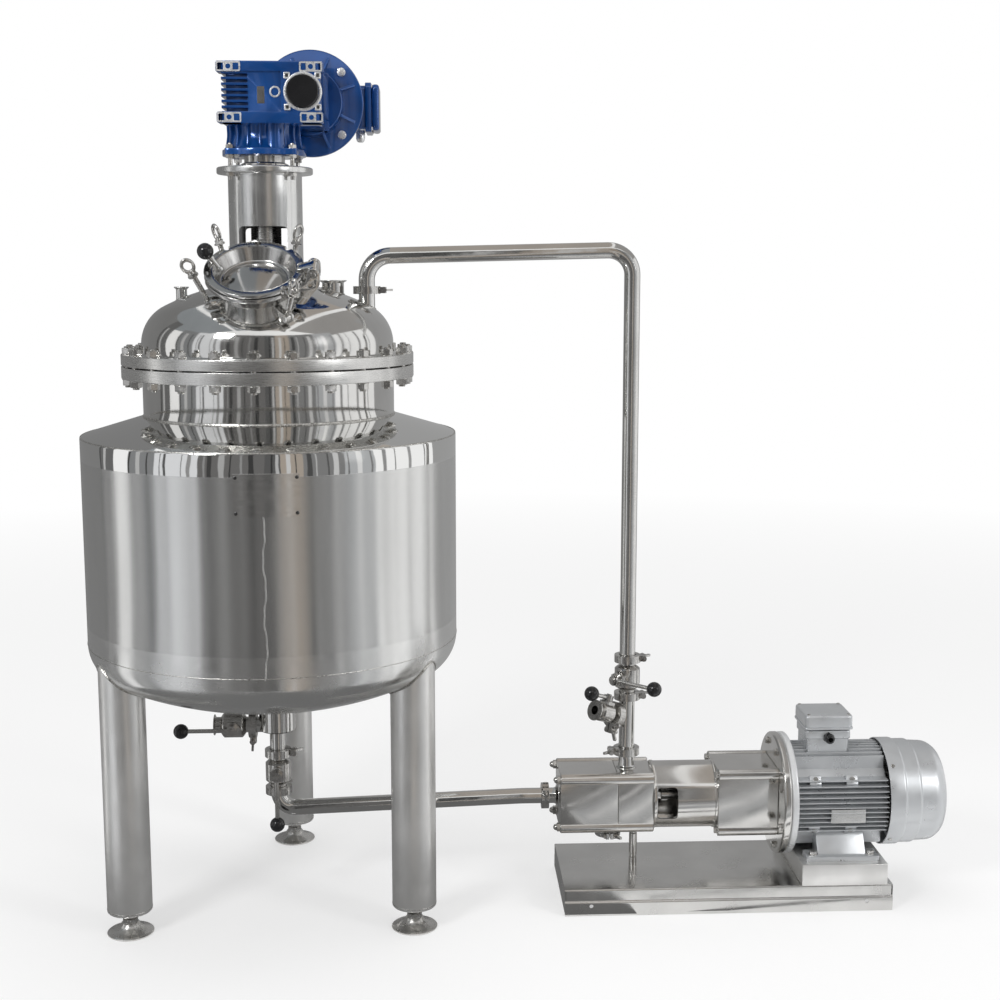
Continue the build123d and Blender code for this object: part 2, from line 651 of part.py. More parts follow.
# Handhole neck: tilted tube with a flared seat, bolt lugs, hinge cheeks and hinge pin
with BuildPart() as handhole_neck:
    throat = HATCH_NECK_R - HATCH_WALL
    turn(
        hatch,
        [
            (throat, 2 * SWING_PIVOT_T),
            (HATCH_NECK_R, 2 * SWING_PIVOT_T),
            (HATCH_NECK_R, HATCH_FLARE_LOW),
            (HATCH_SEAT_R, HATCH_RIM_LOW),
            (HATCH_RIM_R, HATCH_RIM_LOW),
            (HATCH_RIM_R, HATCH_RIM_TOP),
            (HATCH_SEAT_R - 6, HATCH_RIM_TOP),
            (throat, HATCH_FLARE_LOW),
        ],
    )
    add(lid_space.part, mode=Mode.SUBTRACT)
    for azimuth in SWING_ANGLES.values():
        out = hatch_out(azimuth)
        for side in (-1, 1):
            start = side * (SWING_ROD_R + 2 * GAP) + (0 if side > 0 else -LUG_T)
            cheek = Plane(hatch_point(0, 0, 0), x_dir=out, z_dir=out.cross(hatch.z_dir)).offset(start)
            with BuildSketch(cheek) as lug:
                with Locations((SWING_PIVOT_R, SWING_PIVOT_T)):
                    Circle(LUG_R)
                with Locations(((SWING_PIVOT_R + HATCH_NECK_R) / 2 - 1, SWING_PIVOT_T)):
                    Rectangle(SWING_PIVOT_R - HATCH_NECK_R + 2, 2 * LUG_R)
            extrude(lug.sketch, amount=LUG_T)
        pivot = Plane(hatch_point(SWING_PIVOT_R, azimuth, SWING_PIVOT_T), x_dir=out, z_dir=out.cross(hatch.z_dir))
        pin_reach = SWING_ROD_R + LUG_T + 2.5
        rod(pivot, SWING_ROD_R / 2, -pin_reach, pin_reach)
    with BuildSketch(hatch.offset(HATCH_RIM_LOW - 1)) as slots:
        for azimuth in SWING_ANGLES.values():
            with PolarLocations(SWING_PIVOT_R, 1, start_angle=azimuth):
                Circle(SWING_SLOT_HALF)
            with PolarLocations(SWING_PIVOT_R + HATCH_RIM_R / 4, 1, start_angle=azimuth):
                Rectangle(HATCH_RIM_R / 2, 2 * SWING_SLOT_HALF)
    extrude(slots.sketch, amount=HATCH_RIM_TOP - HATCH_RIM_LOW + 2, mode=Mode.SUBTRACT)
    for side in (-1, 1):
        start = side * (HINGE_ARM_HALF + 2 * GAP) + (0 if side > 0 else -HINGE_CHEEK)
        cheek = Plane(hatch.origin, x_dir=hatch.x_dir, z_dir=hatch.y_dir * -1).offset(start)
        with BuildSketch(cheek) as plate:
            with BuildLine():
                Polyline(
                    (HATCH_NECK_R - HATCH_WALL, SWING_PIVOT_T),
                    (HATCH_NECK_R - HATCH_WALL, HATCH_FLARE_LOW),
                    (HATCH_SEAT_R - 6, HATCH_RIM_LOW - 1),
                    (HATCH_RIM_R + 2, HATCH_RIM_LOW - 1),
                    (HINGE_R - HINGE_KNUCKLE_R, HINGE_T),
                    (HINGE_R + HINGE_KNUCKLE_R, HINGE_T),
                    (HINGE_R + HINGE_KNUCKLE_R, HATCH_FLARE_LOW / 2),
                    (HATCH_RIM_R - 4, SWING_PIVOT_T),
                    close=True,
                )
            make_face()
            with Locations((HINGE_R, HINGE_T)):
                Circle(HINGE_KNUCKLE_R)
        extrude(plate.sketch, amount=HINGE_CHEEK)
    hinge = Plane(hatch_point(HINGE_R, 0, HINGE_T), x_dir=hatch.x_dir, z_dir=hatch.y_dir)
    reach = HINGE_ARM_HALF + 2 * GAP + HINGE_CHEEK + 3
    rod(hinge, HINGE_PIN_R, -reach, reach)
save(handhole_neck, "handhole_neck")

# Handhole gasket, inside the bolt slots
with BuildPart() as handhole_gasket:
    gasket_in = HATCH_SEAT_R - 4
    gasket_out = SWING_PIVOT_R - SWING_SLOT_HALF - 1
    turn(
        hatch,
        [(gasket_in, HATCH_RIM_TOP), (gasket_out, HATCH_RIM_TOP), (gasket_out, COVER_LOW), (gasket_in, COVER_LOW)],
    )
save(handhole_gasket, "handhole_gasket")

# Handhole cover: flat rim, sloping well and domed middle, with its hinge arm
with BuildPart() as handhole_cover:
    with BuildSketch(section(hatch)) as profile:
        with BuildLine():
            edge = COVER_VALLEY_R + COVER_WALL
            rim_in = HATCH_SEAT_R - 4
            crown = COVER_LOW + COVER_WALL
            sink = crown - COVER_VALLEY
            ball = (COVER_VALLEY_R**2 + sink**2) / (2 * sink)
            half_turn = asin(COVER_VALLEY_R / ball) / 2
            mid_r = ball * sin(half_turn)
            mid_t = crown - ball * (1 - cos(half_turn))
            ThreePointArc((0, crown), (mid_r, mid_t), (COVER_VALLEY_R, COVER_VALLEY))
            Polyline(
                (COVER_VALLEY_R, COVER_VALLEY),
                (edge, COVER_VALLEY),
                (rim_in, COVER_TOP),
                (HATCH_RIM_R, COVER_TOP),
                (HATCH_RIM_R, COVER_LOW),
                (rim_in - 1, COVER_LOW),
                (edge, COVER_VALLEY - COVER_WALL),
                (COVER_VALLEY_R, COVER_VALLEY - COVER_WALL),
            )
            ThreePointArc((COVER_VALLEY_R, COVER_VALLEY - COVER_WALL), (mid_r, mid_t - COVER_WALL), (0, crown - COVER_WALL))
            Line((0, crown - COVER_WALL), (0, crown))
        make_face()
    revolve(axis=Axis(hatch.origin, hatch.z_dir))
    with BuildSketch(hatch.offset(COVER_LOW)):
        with Locations((0, HATCH_RIM_R - 14)):
            Circle(24)
        Circle(rim_in, mode=Mode.SUBTRACT)
    extrude(amount=COVER_TOP - COVER_LOW)
    with BuildSketch(hatch.offset(COVER_LOW - 1)):
        with Locations((0, HATCH_RIM_R - 10)):
            Circle(7.5)
        for azimuth in SWING_ANGLES.values():
            with PolarLocations(SWING_PIVOT_R, 1, start_angle=azimuth):
                Circle(SWING_SLOT_HALF)
            with PolarLocations(SWING_PIVOT_R + HATCH_RIM_R / 4, 1, start_angle=azimuth):
                Rectangle(HATCH_RIM_R / 2, 2 * SWING_SLOT_HALF)
    extrude(amount=COVER_TOP - COVER_LOW + 2, mode=Mode.SUBTRACT)
    with BuildSketch(Plane(hatch.origin, x_dir=hatch.x_dir, z_dir=hatch.y_dir * -1)):
        with BuildLine():
            Polyline(
                (rim_in + 2, COVER_TOP - 1),
                (rim_in + 2, COVER_TOP + 6),
                (HINGE_R - 4, HINGE_T + HINGE_KNUCKLE_R - 4),
                (HINGE_R, HINGE_T),
                (HINGE_R - 6, HINGE_T - 2),
                close=True,
            )
        make_face()
        with Locations((HINGE_R, HINGE_T)):
            Circle(HINGE_KNUCKLE_R - 1)
    extrude(amount=HINGE_ARM_HALF, both=True)
    rod(hinge, HINGE_PIN_R + RUN, -2 * HINGE_ARM_HALF, 2 * HINGE_ARM_HALF, Mode.SUBTRACT)
save(handhole_cover, "handhole_cover")

# Cover knob: black ball on a short stem, leaning outwards from the well
with BuildPart() as cover_knob:
    knob_out = hatch_out(COVER_KNOB_ANGLE)
    knob_foot = hatch_point((edge + rim_in) / 2, COVER_KNOB_ANGLE, (COVER_TOP + COVER_VALLEY) / 2)
    lean = radians(35)
    knob_seat = Plane(knob_foot, z_dir=hatch.z_dir * cos(lean) + knob_out * sin(lean))
    rod(knob_seat, SWING_ROD_R, -3, 40)
    with Locations(knob_seat.offset(48).location):
        Sphere(KNOB_R)
    turn(
        hatch,
        [
            (0, 2 * COVER_VALLEY),
            (HATCH_RIM_R, 2 * COVER_VALLEY),
            (HATCH_RIM_R, COVER_TOP),
            (rim_in, COVER_TOP),
            (edge, COVER_VALLEY),
            (0, COVER_VALLEY),
        ],
        Mode.SUBTRACT,
    )
save(cover_knob, "cover_knob")

# Swing bolts: an eye at the foot, a rod, and an eye nut above the rim
for place, azimuth in SWING_ANGLES.items():
    with BuildPart() as swing_bolt:
        out = hatch_out(azimuth)
        lean = radians(SWING_LEAN)
        along = hatch.z_dir * cos(lean) + out * sin(lean)
        seat = Plane(hatch_point(SWING_PIVOT_R, azimuth, SWING_PIVOT_T), x_dir=hatch.z_dir.cross(out), z_dir=along)
        foot = Plane(seat.origin, x_dir=seat.z_dir, z_dir=seat.x_dir)
        nut_low = COVER_TOP - SWING_PIVOT_T + 2
        nut_high = nut_low + 14
        ring = nut_high + EYE_RING_R
        rod(foot, LUG_R - 1, -SWING_ROD_R - GAP, SWING_ROD_R + GAP)
        rod(seat, SWING_ROD_R, 0, nut_high)
        turn(seat, [(0, nut_low), (12, nut_low), (12, nut_low + 4), (9, nut_low + 6), (7, nut_high), (0, nut_high)])
        eye = Plane(seat.origin + seat.z_dir * ring, x_dir=seat.x_dir, z_dir=seat.y_dir)
        with Locations(eye.location):
            Torus(EYE_RING_R, EYE_WIRE_R)
        rod(foot, SWING_ROD_R / 2 + RUN, -2 * SWING_ROD_R, 2 * SWING_ROD_R, Mode.SUBTRACT)
    save(swing_bolt, f"swing_bolt_{place}")

# Lantern: windowed motor stool standing on the lid's pad
with BuildPart() as lantern:
    base = lid_top + PAD_T
    bore = LANTERN_R - LANTERN_WALL
    turn(
        tank,
        [
            (bore, base),
            (LANTERN_BASE_R, base),
            (LANTERN_BASE_R, base + LANTERN_BASE_T),
            (LANTERN_R, base + LANTERN_BASE_T),
            (LANTERN_R, LANTERN_TOP_Z - LANTERN_TOP_T),
            (LANTERN_TOP_R, LANTERN_TOP_Z - LANTERN_TOP_T),
            (LANTERN_TOP_R, LANTERN_TOP_Z),
            (0.6 * BEARING_R, LANTERN_TOP_Z),
            (0.6 * BEARING_R, LANTERN_TOP_Z - LANTERN_TOP_T),
            (bore, LANTERN_TOP_Z - LANTERN_TOP_T),
        ],
    )
    middle = (WINDOW_LOW_Z + WINDOW_HIGH_Z) / 2
    with BuildSketch(Plane(origin=(TANK_X, 0, middle), x_dir=(1, 0, 0), z_dir=(0, -1, 0))):
        RectangleRounded(WINDOW_WIDTH, WINDOW_HIGH_Z - WINDOW_LOW_Z, WINDOW_CORNER)
    extrude(amount=LANTERN_BASE_R, both=True, mode=Mode.SUBTRACT)
save(lantern, "lantern")

# Shaft seal: flanged housing on the pad, inside the lantern's base
with BuildPart() as shaft_seal:
    turn(
        tank,
        [
            (SHAFT_R + RUN, base),
            (bore - 6, base),
            (bore - 6, base + LANTERN_BASE_T),
            (2 * SHAFT_R, base + LANTERN_BASE_T),
            (1.9 * SHAFT_R, WINDOW_LOW_Z - 6),
            (SHAFT_R + RUN, WINDOW_LOW_Z - 6),
        ],
    )
save(shaft_seal, "shaft_seal")

# Bearing housing between the lantern and the gearbox
with BuildPart() as bearing_housing:
    turn(
        tank,
        [
            (SHAFT_R + RUN, LANTERN_TOP_Z - LANTERN_TOP_T),
            (0.6 * BEARING_R - SEAM, LANTERN_TOP_Z - LANTERN_TOP_T),
            (0.6 * BEARING_R - SEAM, LANTERN_TOP_Z),
            (BEARING_R, LANTERN_TOP_Z),
            (BEARING_R, LANTERN_TOP_Z + 0.3 * BEARING_T),
            (0.85 * BEARING_R, LANTERN_TOP_Z + 0.45 * BEARING_T),
            (0.85 * BEARING_R, GEAR_Z),
            (SHAFT_R + RUN, GEAR_Z),
        ],
    )
save(bearing_housing, "bearing_housing")

# Gearbox housing: output flange, ribbed skirt, finned body with corner feet, and the worm's boss
with BuildPart() as gearbox_housing:
    with BuildSketch(tank.offset(GEAR_Z)):
        Circle(GEAR_FLANGE_R)
        with PolarLocations(GEAR_FLANGE_R - 2, 4, start_angle=45):
            Circle(GEAR_LOBE_R)
    extrude(amount=GEAR_FLANGE_T)
    turn(
        tank,
        [
            (0, GEAR_Z + GEAR_FLANGE_T),
            (GEAR_SKIRT_R, GEAR_Z + GEAR_FLANGE_T),
            (GEAR_SKIRT_TOP_R, GEAR_BODY_Z),
            (0, GEAR_BODY_Z),
        ],
    )
    with BuildSketch(tank.offset(GEAR_Z + GEAR_FLANGE_T)):
        with PolarLocations(GEAR_SKIRT_TOP_R, 16, start_angle=11):
            Rectangle(2 * (GEAR_SKIRT_R - GEAR_SKIRT_TOP_R), 5)
    extrude(amount=GEAR_SKIRT_H)
    body_centre = ((GEAR_RIGHT - GEAR_LEFT) / 2, (GEAR_BACK - GEAR_FRONT) / 2)
    with BuildSketch(tank.offset(GEAR_BODY_Z)):
        with Locations(body_centre):
            RectangleRounded(GEAR_LEFT + GEAR_RIGHT, GEAR_FRONT + GEAR_BACK, 14)
    extrude(amount=GEAR_BODY_H)
    fin_plane = Plane(origin=(TANK_X - GEAR_LEFT, 0, WORM_Z), x_dir=(0, 1, 0), z_dir=(-1, 0, 0))
    with BuildSketch(fin_plane):
        with GridLocations(0, 13, 1, 6):
            Rectangle(2 * GEAR_FRONT, 7)
    extrude(amount=-32, mode=Mode.SUBTRACT)
    side_plane = Plane(origin=(TANK_X + GEAR_RIGHT, 0, WORM_Z), x_dir=(0, 1, 0), z_dir=(1, 0, 0))
    with BuildSketch(side_plane):
        with GridLocations(22, 0, 8, 1):
            Rectangle(9, 0.68 * GEAR_BODY_H, rotation=-24)
    extrude(amount=-8, mode=Mode.SUBTRACT)
    for across_y, depth in ((-GEAR_FRONT, 46), (GEAR_BACK, -46)):
        face = Plane(origin=(TANK_X, across_y, WORM_Z), x_dir=(1, 0, 0), z_dir=(0, 1, 0))
        with BuildSketch(face) as feet:
            for low_x, high_x in ((-GEAR_LEFT - GEAR_PAD, -36), (WORM_X - 8, GEAR_RIGHT + 5)):
                with Locations(
                    ((low_x + high_x) / 2, GEAR_BODY_H / 2 - 12),
                    ((low_x + high_x) / 2, 12 - GEAR_BODY_H / 2),
                ):
                    RectangleRounded(high_x - low_x, 24, 4)
        extrude(feet.sketch, amount=depth)
        with BuildSketch(face) as holes:
            for low_x, high_x in ((-GEAR_LEFT - GEAR_PAD, -36), (WORM_X - 8, GEAR_RIGHT + 5)):
                with Locations(
                    ((low_x + high_x) / 2, GEAR_BODY_H / 2 - 12),
                    ((low_x + high_x) / 2, 12 - GEAR_BODY_H / 2),
                ):
                    Circle(5.5)
        extrude(holes.sketch, amount=depth / 2, mode=Mode.SUBTRACT)
    turn(drive, [(0, -GEAR_FRONT - 4), (CAP_RING_R, -GEAR_FRONT - 4), (CAP_RING_R, -GEAR_FRONT + 1), (0, -GEAR_FRONT + 1)])
    with BuildSketch(drive.offset(-GEAR_FRONT - 4)) as lugs:
        with PolarLocations(CAP_RING_R + 2, 4, start_angle=45):
            Circle(7)
    extrude(lugs.sketch, amount=5)
    rod(tank, SHAFT_R + RUN, GEAR_Z, WORM_Z + WHEEL_T, Mode.SUBTRACT)
    rod(tank, WHEEL_R + 2, WORM_Z - WHEEL_T / 2 - 2, WORM_Z + WHEEL_T / 2 + 2, Mode.SUBTRACT)
    rod(drive, WORM_R + 2, -WORM_LENGTH / 2 - 2, WORM_LENGTH / 2 + 2, Mode.SUBTRACT)
    rod(drive, DRIVE_SHAFT_R + RUN, -GEAR_FRONT - 4, GEAR_BACK, Mode.SUBTRACT)
save(gearbox_housing, "gearbox_housing")

# Worm cap: closes the front bearing of the worm
with BuildPart() as worm_cap:
    front = -GEAR_FRONT - 4
    turn(drive, [(0, front), (CAP_R, front), (CAP_R, front - CAP_T + 2), (CAP_R - 2, front - CAP_T), (0, front - CAP_T)])
save(worm_cap, "worm_cap")


def finned_body(seat, core, tip, length, pitch, low=0):
    """A cast motor frame: a round core with straight fins on four sides, along a seat's normal."""
    with BuildSketch(seat.offset(low)) as frame:
        Circle(core)
        reach = 0.72 * core
        count = int(reach / pitch)
        for index in range(-count, count + 1):
            place = index * pitch
            root = sqrt(core**2 - place**2) - 2
            end = sqrt(tip**2 - place**2)
            for side in (-1, 1):
                with Locations((side * (root + end) / 2, place)):
                    Rectangle(end - root, FIN_T)
                with Locations((place, side * (root + end) / 2)):
                    Rectangle(FIN_T, end - root)
    extrude(frame.sketch, amount=length)


def cowl(seat, radius, length, ridge):
    """A pressed fan cowl, open towards the motor, with ridges round it and a domed, slotted end."""
    wall = COWL_WALL
    turn(
        seat,
        [
            (radius - wall, 0),
            (radius, 0),
            (radius, ridge),
            (radius - 4, ridge + 3),
            (radius - 4, 2 * ridge),
            (radius - 8, 2 * ridge + 3),
            (radius - 10, 0.8 * length),
            (radius - 26, 0.95 * length),
            (0.5 * radius, length),
            (0, length),
            (0, length - wall),
            (0.5 * radius, length - wall),
            (radius - 27, 0.95 * length - wall),
            (radius - 10 - wall, 0.8 * length - 1),
            (radius - 8 - wall, 2 * ridge + 2),
            (radius - 4 - wall, 2 * ridge - 1),
            (radius - 4 - wall, ridge + 3),
            (radius - wall, ridge),
        ],
    )
    with BuildSketch(seat.offset(length - 2 * wall)) as grille:
        for ring_r in (0.18 * radius, 0.34 * radius):
            with PolarLocations(ring_r, 12):
                Rectangle(0.1 * radius, 4)
    extrude(grille.sketch, amount=3 * wall, mode=Mode.SUBTRACT)


# Agitator motor: flange, hub and finned body behind the gearbox
with BuildPart() as agitator_motor:
    rotor_low = DRIVE_FLANGE_T + 30
    rotor_high = DRIVE_FLANGE_T + DRIVE_LENGTH - 22
    seat = drive.offset(DRIVE_Y)
    rod(seat, DRIVE_FLANGE_R, 0, DRIVE_FLANGE_T)
    finned_body(seat, DRIVE_CORE_R, DRIVE_FIN_R, DRIVE_LENGTH, FIN_PITCH, DRIVE_FLANGE_T)
    rod(seat, 0.55 * DRIVE_CORE_R + GAP, rotor_low - GAP, rotor_high + GAP, Mode.SUBTRACT)
    rod(seat, DRIVE_SHAFT_R + RUN, 0, DRIVE_FLANGE_T + DRIVE_LENGTH, Mode.SUBTRACT)
save(agitator_motor, "agitator_motor")

with BuildPart() as agitator_fan_cowl:
    cowl(drive.offset(DRIVE_COWL_Y), DRIVE_COWL_R, DRIVE_COWL_LENGTH, 20)
save(agitator_fan_cowl, "agitator_fan_cowl")

# Terminal box on the agitator motor's right side, with a cable gland under it
with BuildPart() as agitator_terminal_box:
    box_seat = Plane(
        origin=(TANK_X + WORM_X + DRIVE_FIN_R, DRIVE_BODY_Y + 0.5 * DRIVE_LENGTH, WORM_Z),
        x_dir=(0, 1, 0),
        z_dir=(1, 0, 0),
    )
    with BuildSketch(box_seat):
        RectangleRounded(104, 104, 10)
    extrude(amount=30)
    with BuildSketch(box_seat.offset(30)):
        RectangleRounded(118, 118, 12)
    extrude(amount=34)
    fillet(agitator_terminal_box.faces().sort_by(Axis.X)[-1].edges(), 8)
    gland = Plane(box_seat.origin + Vector(15, 0, -52), x_dir=(1, 0, 0), z_dir=(0, 0, -1))
    rod(gland, 11, -2, 26)
save(agitator_terminal_box, "agitator_terminal_box")

# Worm shaft: worm, motor rotor and fan on one shaft
with BuildPart() as worm_shaft:
    rod(drive, DRIVE_SHAFT_R, -GEAR_FRONT + 2, DRIVE_COWL_Y + 40)
    rod(drive, WORM_R, -WORM_LENGTH / 2, WORM_LENGTH / 2)
    rod(drive.offset(DRIVE_Y), 0.55 * DRIVE_CORE_R, rotor_low, rotor_high)
    fan_low = DRIVE_COWL_Y + 8
    rod(drive, 26, fan_low, fan_low + 26)
    with BuildSketch(drive.offset(fan_low)) as blades:
        with PolarLocations(0.45 * DRIVE_COWL_R, 7):
            Rectangle(0.7 * DRIVE_COWL_R, 4)
    extrude(blades.sketch, amount=24)
save(worm_shaft, "worm_shaft")

# Worm wheel on the agitator shaft
with BuildPart() as worm_wheel:
    half = WHEEL_T / 2
    turn(
        tank,
        [
            (SHAFT_R + SEAM, WORM_Z - half),
            (WHEEL_R, WORM_Z - half),
            (WHEEL_R, WORM_Z + half),
            (SHAFT_R + SEAM, WORM_Z + half),
        ],
    )
save(worm_wheel, "worm_wheel")

# Agitator shaft, from the gearbox down to the anchor
anchor_low = vessel_low + VESSEL_WALL + ANCHOR_GAP
with BuildPart() as agitator_shaft:
    rod(tank, SHAFT_R, anchor_low + ANCHOR_WIDTH + 1, WORM_Z + WHEEL_T / 2 + 6)
save(agitator_shaft, "agitator_shaft")

# Shaft coupling, seen through the lantern's window
with BuildPart() as shaft_coupling:
    coupling_low = WINDOW_LOW_Z + 12
    with BuildSketch(tank.offset(coupling_low)):
        Circle(1.75 * SHAFT_R)
        Circle(SHAFT_R + SEAM, mode=Mode.SUBTRACT)
        Rectangle(4 * SHAFT_R, 3, mode=Mode.SUBTRACT)
    extrude(amount=96)
    with BuildSketch(Plane(origin=(TANK_X, 0, coupling_low + 48), x_dir=(1, 0, 0), z_dir=(0, -1, 0))):
        with GridLocations(2.75 * SHAFT_R, 52, 2, 2):
            Circle(4.5)
    extrude(amount=2 * SHAFT_R, both=True, mode=Mode.SUBTRACT)
save(shaft_coupling, "shaft_coupling")

# Anchor impeller: a flat frame that follows the vessel's wall and dish, with a hub on the shaft
with BuildPart() as anchor_impeller:
    inset = VESSEL_WALL + ANCHOR_GAP
    deep = inset + ANCHOR_WIDTH
    with BuildSketch(section(tank)) as blade:
        with BuildLine():
            low = draw_dish(NECK_R, VESSEL_CROWN, VESSEL_KNUCKLE, VESSEL_TANGENT_Z, -inset)
            Polyline(
                (NECK_R - inset, VESSEL_TANGENT_Z),
                (NECK_R - inset, ANCHOR_TOP_Z),
                (NECK_R - deep, ANCHOR_TOP_Z),
                (NECK_R - deep, VESSEL_TANGENT_Z + ANCHOR_WIDTH),
                (NECK_R - 1.3 * deep, VESSEL_TANGENT_Z),
                (0.5 * NECK_R, low + 1.5 * ANCHOR_WIDTH),
                (0, low + ANCHOR_WIDTH),
                (0, low),
            )
        make_face()
        with Locations((NECK_R / 2, ANCHOR_TOP_Z - 1.5 * ANCHOR_WIDTH)):
            Rectangle(NECK_R - 2 * inset, ANCHOR_WIDTH)
        mirror(about=Plane.YZ)
    extrude(blade.sketch, amount=ANCHOR_T / 2, both=True)
    for height in (low + ANCHOR_WIDTH / 2, ANCHOR_TOP_Z - 1.5 * ANCHOR_WIDTH - 30):
        rod(tank, 1.8 * SHAFT_R, height, height + 60)
    rod(tank, SHAFT_R + SEAM, low + ANCHOR_WIDTH, ANCHOR_TOP_Z, Mode.SUBTRACT)
save(anchor_impeller, "anchor_impeller")

# Bottom outlet: tube out of the vessel's floor, with a collar under the shell and a side branch
with BuildPart() as outlet_pipe:
    side_seat = Plane(origin=(TANK_X, 0, SIDE_Z), x_dir=(0, 0, 1), z_dir=(-1, 0, 0))
    face = ferrule(BOTTOM_JOINT_Z, -1, TUBE_R)
    turn(
        tank,
        [(0, BOTTOM_JOINT_Z)]
        + face
        + [
            (TUBE_R, BOTTOM_JOINT_Z + FERRULE_T),
            (TUBE_R, COLLAR_Z),
            (COLLAR_R - 3, COLLAR_Z),
            (COLLAR_R, COLLAR_Z + 3),
            (COLLAR_R, jacket_low + 20),
            (0, jacket_low + 20),
        ],
    )
    stub_face = ferrule(-SIDE_JOINT_X, 1, TUBE_R)
    turn(side_seat, [(0, -SIDE_JOINT_X)] + stub_face + [(TUBE_R, -SIDE_JOINT_X - FERRULE_T), (TUBE_R, 0), (0, 0)])
    add(jacket_space.part, mode=Mode.SUBTRACT)
    with BuildPart(mode=Mode.PRIVATE) as riser_tube:
        rod(tank, TUBE_R, jacket_low - 1, VESSEL_TANGENT_Z)
        add(vessel_space.part, mode=Mode.SUBTRACT)
    add(riser_tube.part)
    rod(tank, TUBE_IN, 0, VESSEL_TANGENT_Z, Mode.SUBTRACT)
    rod(side_seat, TUBE_IN, 0, -SIDE_JOINT_X, Mode.SUBTRACT)
save(outlet_pipe, "outlet_pipe")


def valve_body(seat, half, tube, bore, barrel, ball, bonnet, rim=FERRULE_R):
    """A two-way ball valve: flow along the seat's normal, stem along its x axis."""
    upper = ferrule(half, 1, tube, rim)
    lower = [(r, -h) for r, h in reversed(upper)]
    shoulder = 0.66 * half
    turn(
        seat,
        [(bore, half)]
        + upper
        + [
            (tube, half - FERRULE_T),
            (tube, shoulder),
            (0.88 * barrel, 0.54 * half),
            (barrel, 0.46 * half),
            (barrel, -0.46 * half),
            (0.88 * barrel, -0.54 * half),
            (tube, -shoulder),
            (tube, FERRULE_T - half),
        ]
        + lower
        + [(bore, -half)],
    )
    stem = across(seat)
    rod(stem, BONNET_R, ball + 2, bonnet)
    with BuildSketch(stem.offset(bonnet - 9)) as gland_nut:
        RegularPolygon(BONNET_R + 2, 6, major_radius=False)
    extrude(gland_nut.sketch, amount=7)
    with Locations(seat.location):
        Sphere(ball + GAP, mode=Mode.SUBTRACT)
    rod(stem, STEM_R + RUN, 0, bonnet, Mode.SUBTRACT)


def valve_lever(seat, pointing, bore, ball, bonnet, length):
    """The bored ball with its stem, and the lever on the stem's end."""
    stem = across(seat)
    low = bonnet + GAP
    high = low + HUB_T
    with Locations(seat.location):
        Sphere(ball)
    rod(stem, STEM_R, 0, high + 3)
    rod(seat, bore, -2 * ball, 2 * ball, Mode.SUBTRACT)
    with BuildPart(mode=Mode.PRIVATE) as lever:
        rod(stem, HUB_R, low, high)
        middle = stem.offset((low + high) / 2)
        arm = Plane(middle.origin, z_dir=pointing)
        rod(arm, LEVER_ROD_R, 0.5 * HUB_R, length - KNOB_R + KNOB_SOCKET)
        rod(stem, STEM_R + SEAM, low, high, Mode.SUBTRACT)
    add(lever.part)


def lever_knob(seat, pointing, bonnet, length):
    """The ball grip pushed on the lever's end."""
    centre = across(seat).offset(bonnet + GAP + HUB_T / 2).origin + Vector(*pointing) * length
    grip = Plane(centre, z_dir=pointing)
    with Locations(grip.location):
        Sphere(KNOB_R)
    rod(grip, LEVER_ROD_R + SEAM, -2 * KNOB_R, KNOB_SOCKET - KNOB_R, Mode.SUBTRACT)


branch_turn = radians(BRANCH_AZIMUTH)
branch_lift = radians(BRANCH_RISE)
branch_way = Vector(cos(branch_turn) * cos(branch_lift), sin(branch_turn) * cos(branch_lift), sin(branch_lift))
branch_foot = Vector(TANK_X + RISER_X, 0, BRANCH_Z)
branch_up = Vector(0, 0, 1) - branch_way * branch_way.Z
branch_seat = Plane(
    branch_foot + branch_way * (BRANCH_JOINT + SMALL_VALVE_HALF),
    x_dir=branch_up,
    z_dir=branch_way,
)
line_stem = Vector(-sqrt(0.5), -sqrt(0.5), 0)
line_lever = Vector(sqrt(0.5), -sqrt(0.5), 0)
front = Vector(0, -1, 0)
full_bore = (VALVE_HALF, TUBE_R, TUBE_IN, BARREL_R, BALL_R, BONNET_REACH)
small_bore = (SMALL_VALVE_HALF, BRANCH_R, SMALL_BORE_R, SMALL_BARREL_R, SMALL_BALL_R, SMALL_BONNET_REACH)
VALVES = {
    "bottom": (
        Plane(origin=(TANK_X, 0, BOTTOM_JOINT_Z - VALVE_HALF), x_dir=front, z_dir=(0, 0, 1)),
        (0, 0, -1),
        full_bore,
        LEVER_LENGTH,
    ),
    "side": (
        Plane(origin=(TANK_X + SIDE_JOINT_X - VALVE_HALF, 0, SIDE_Z), x_dir=front, z_dir=(-1, 0, 0)),
        (-1, 0, 0),
        full_bore,
        LEVER_LENGTH,
    ),
    "line": (
        Plane(origin=(TANK_X + RISER_X, 0, LINE_VALVE_Z), x_dir=line_stem, z_dir=(0, 0, 1)),
        tuple(line_lever),
        full_bore,
        LEVER_LENGTH,
    ),
    "branch": (branch_seat, tuple(branch_way), small_bore, SMALL_LEVER_LENGTH),
}

# Four ball valves, each with its lever and knob
for place, (seat, pointing, sizes, length) in VALVES.items():
    half, tube, bore, barrel, ball, bonnet = sizes
    with BuildPart() as body:
        valve_body(seat, half, tube, bore, barrel, ball, bonnet)
    save(body, f"{place}_valve_body")
    with BuildPart() as lever:
        valve_lever(seat, pointing, bore, ball, bonnet, length)
    save(lever, f"{place}_valve_lever")
    with BuildPart() as knob:
        lever_knob(seat, pointing, bonnet, length)
    save(knob, f"{place}_valve_knob")


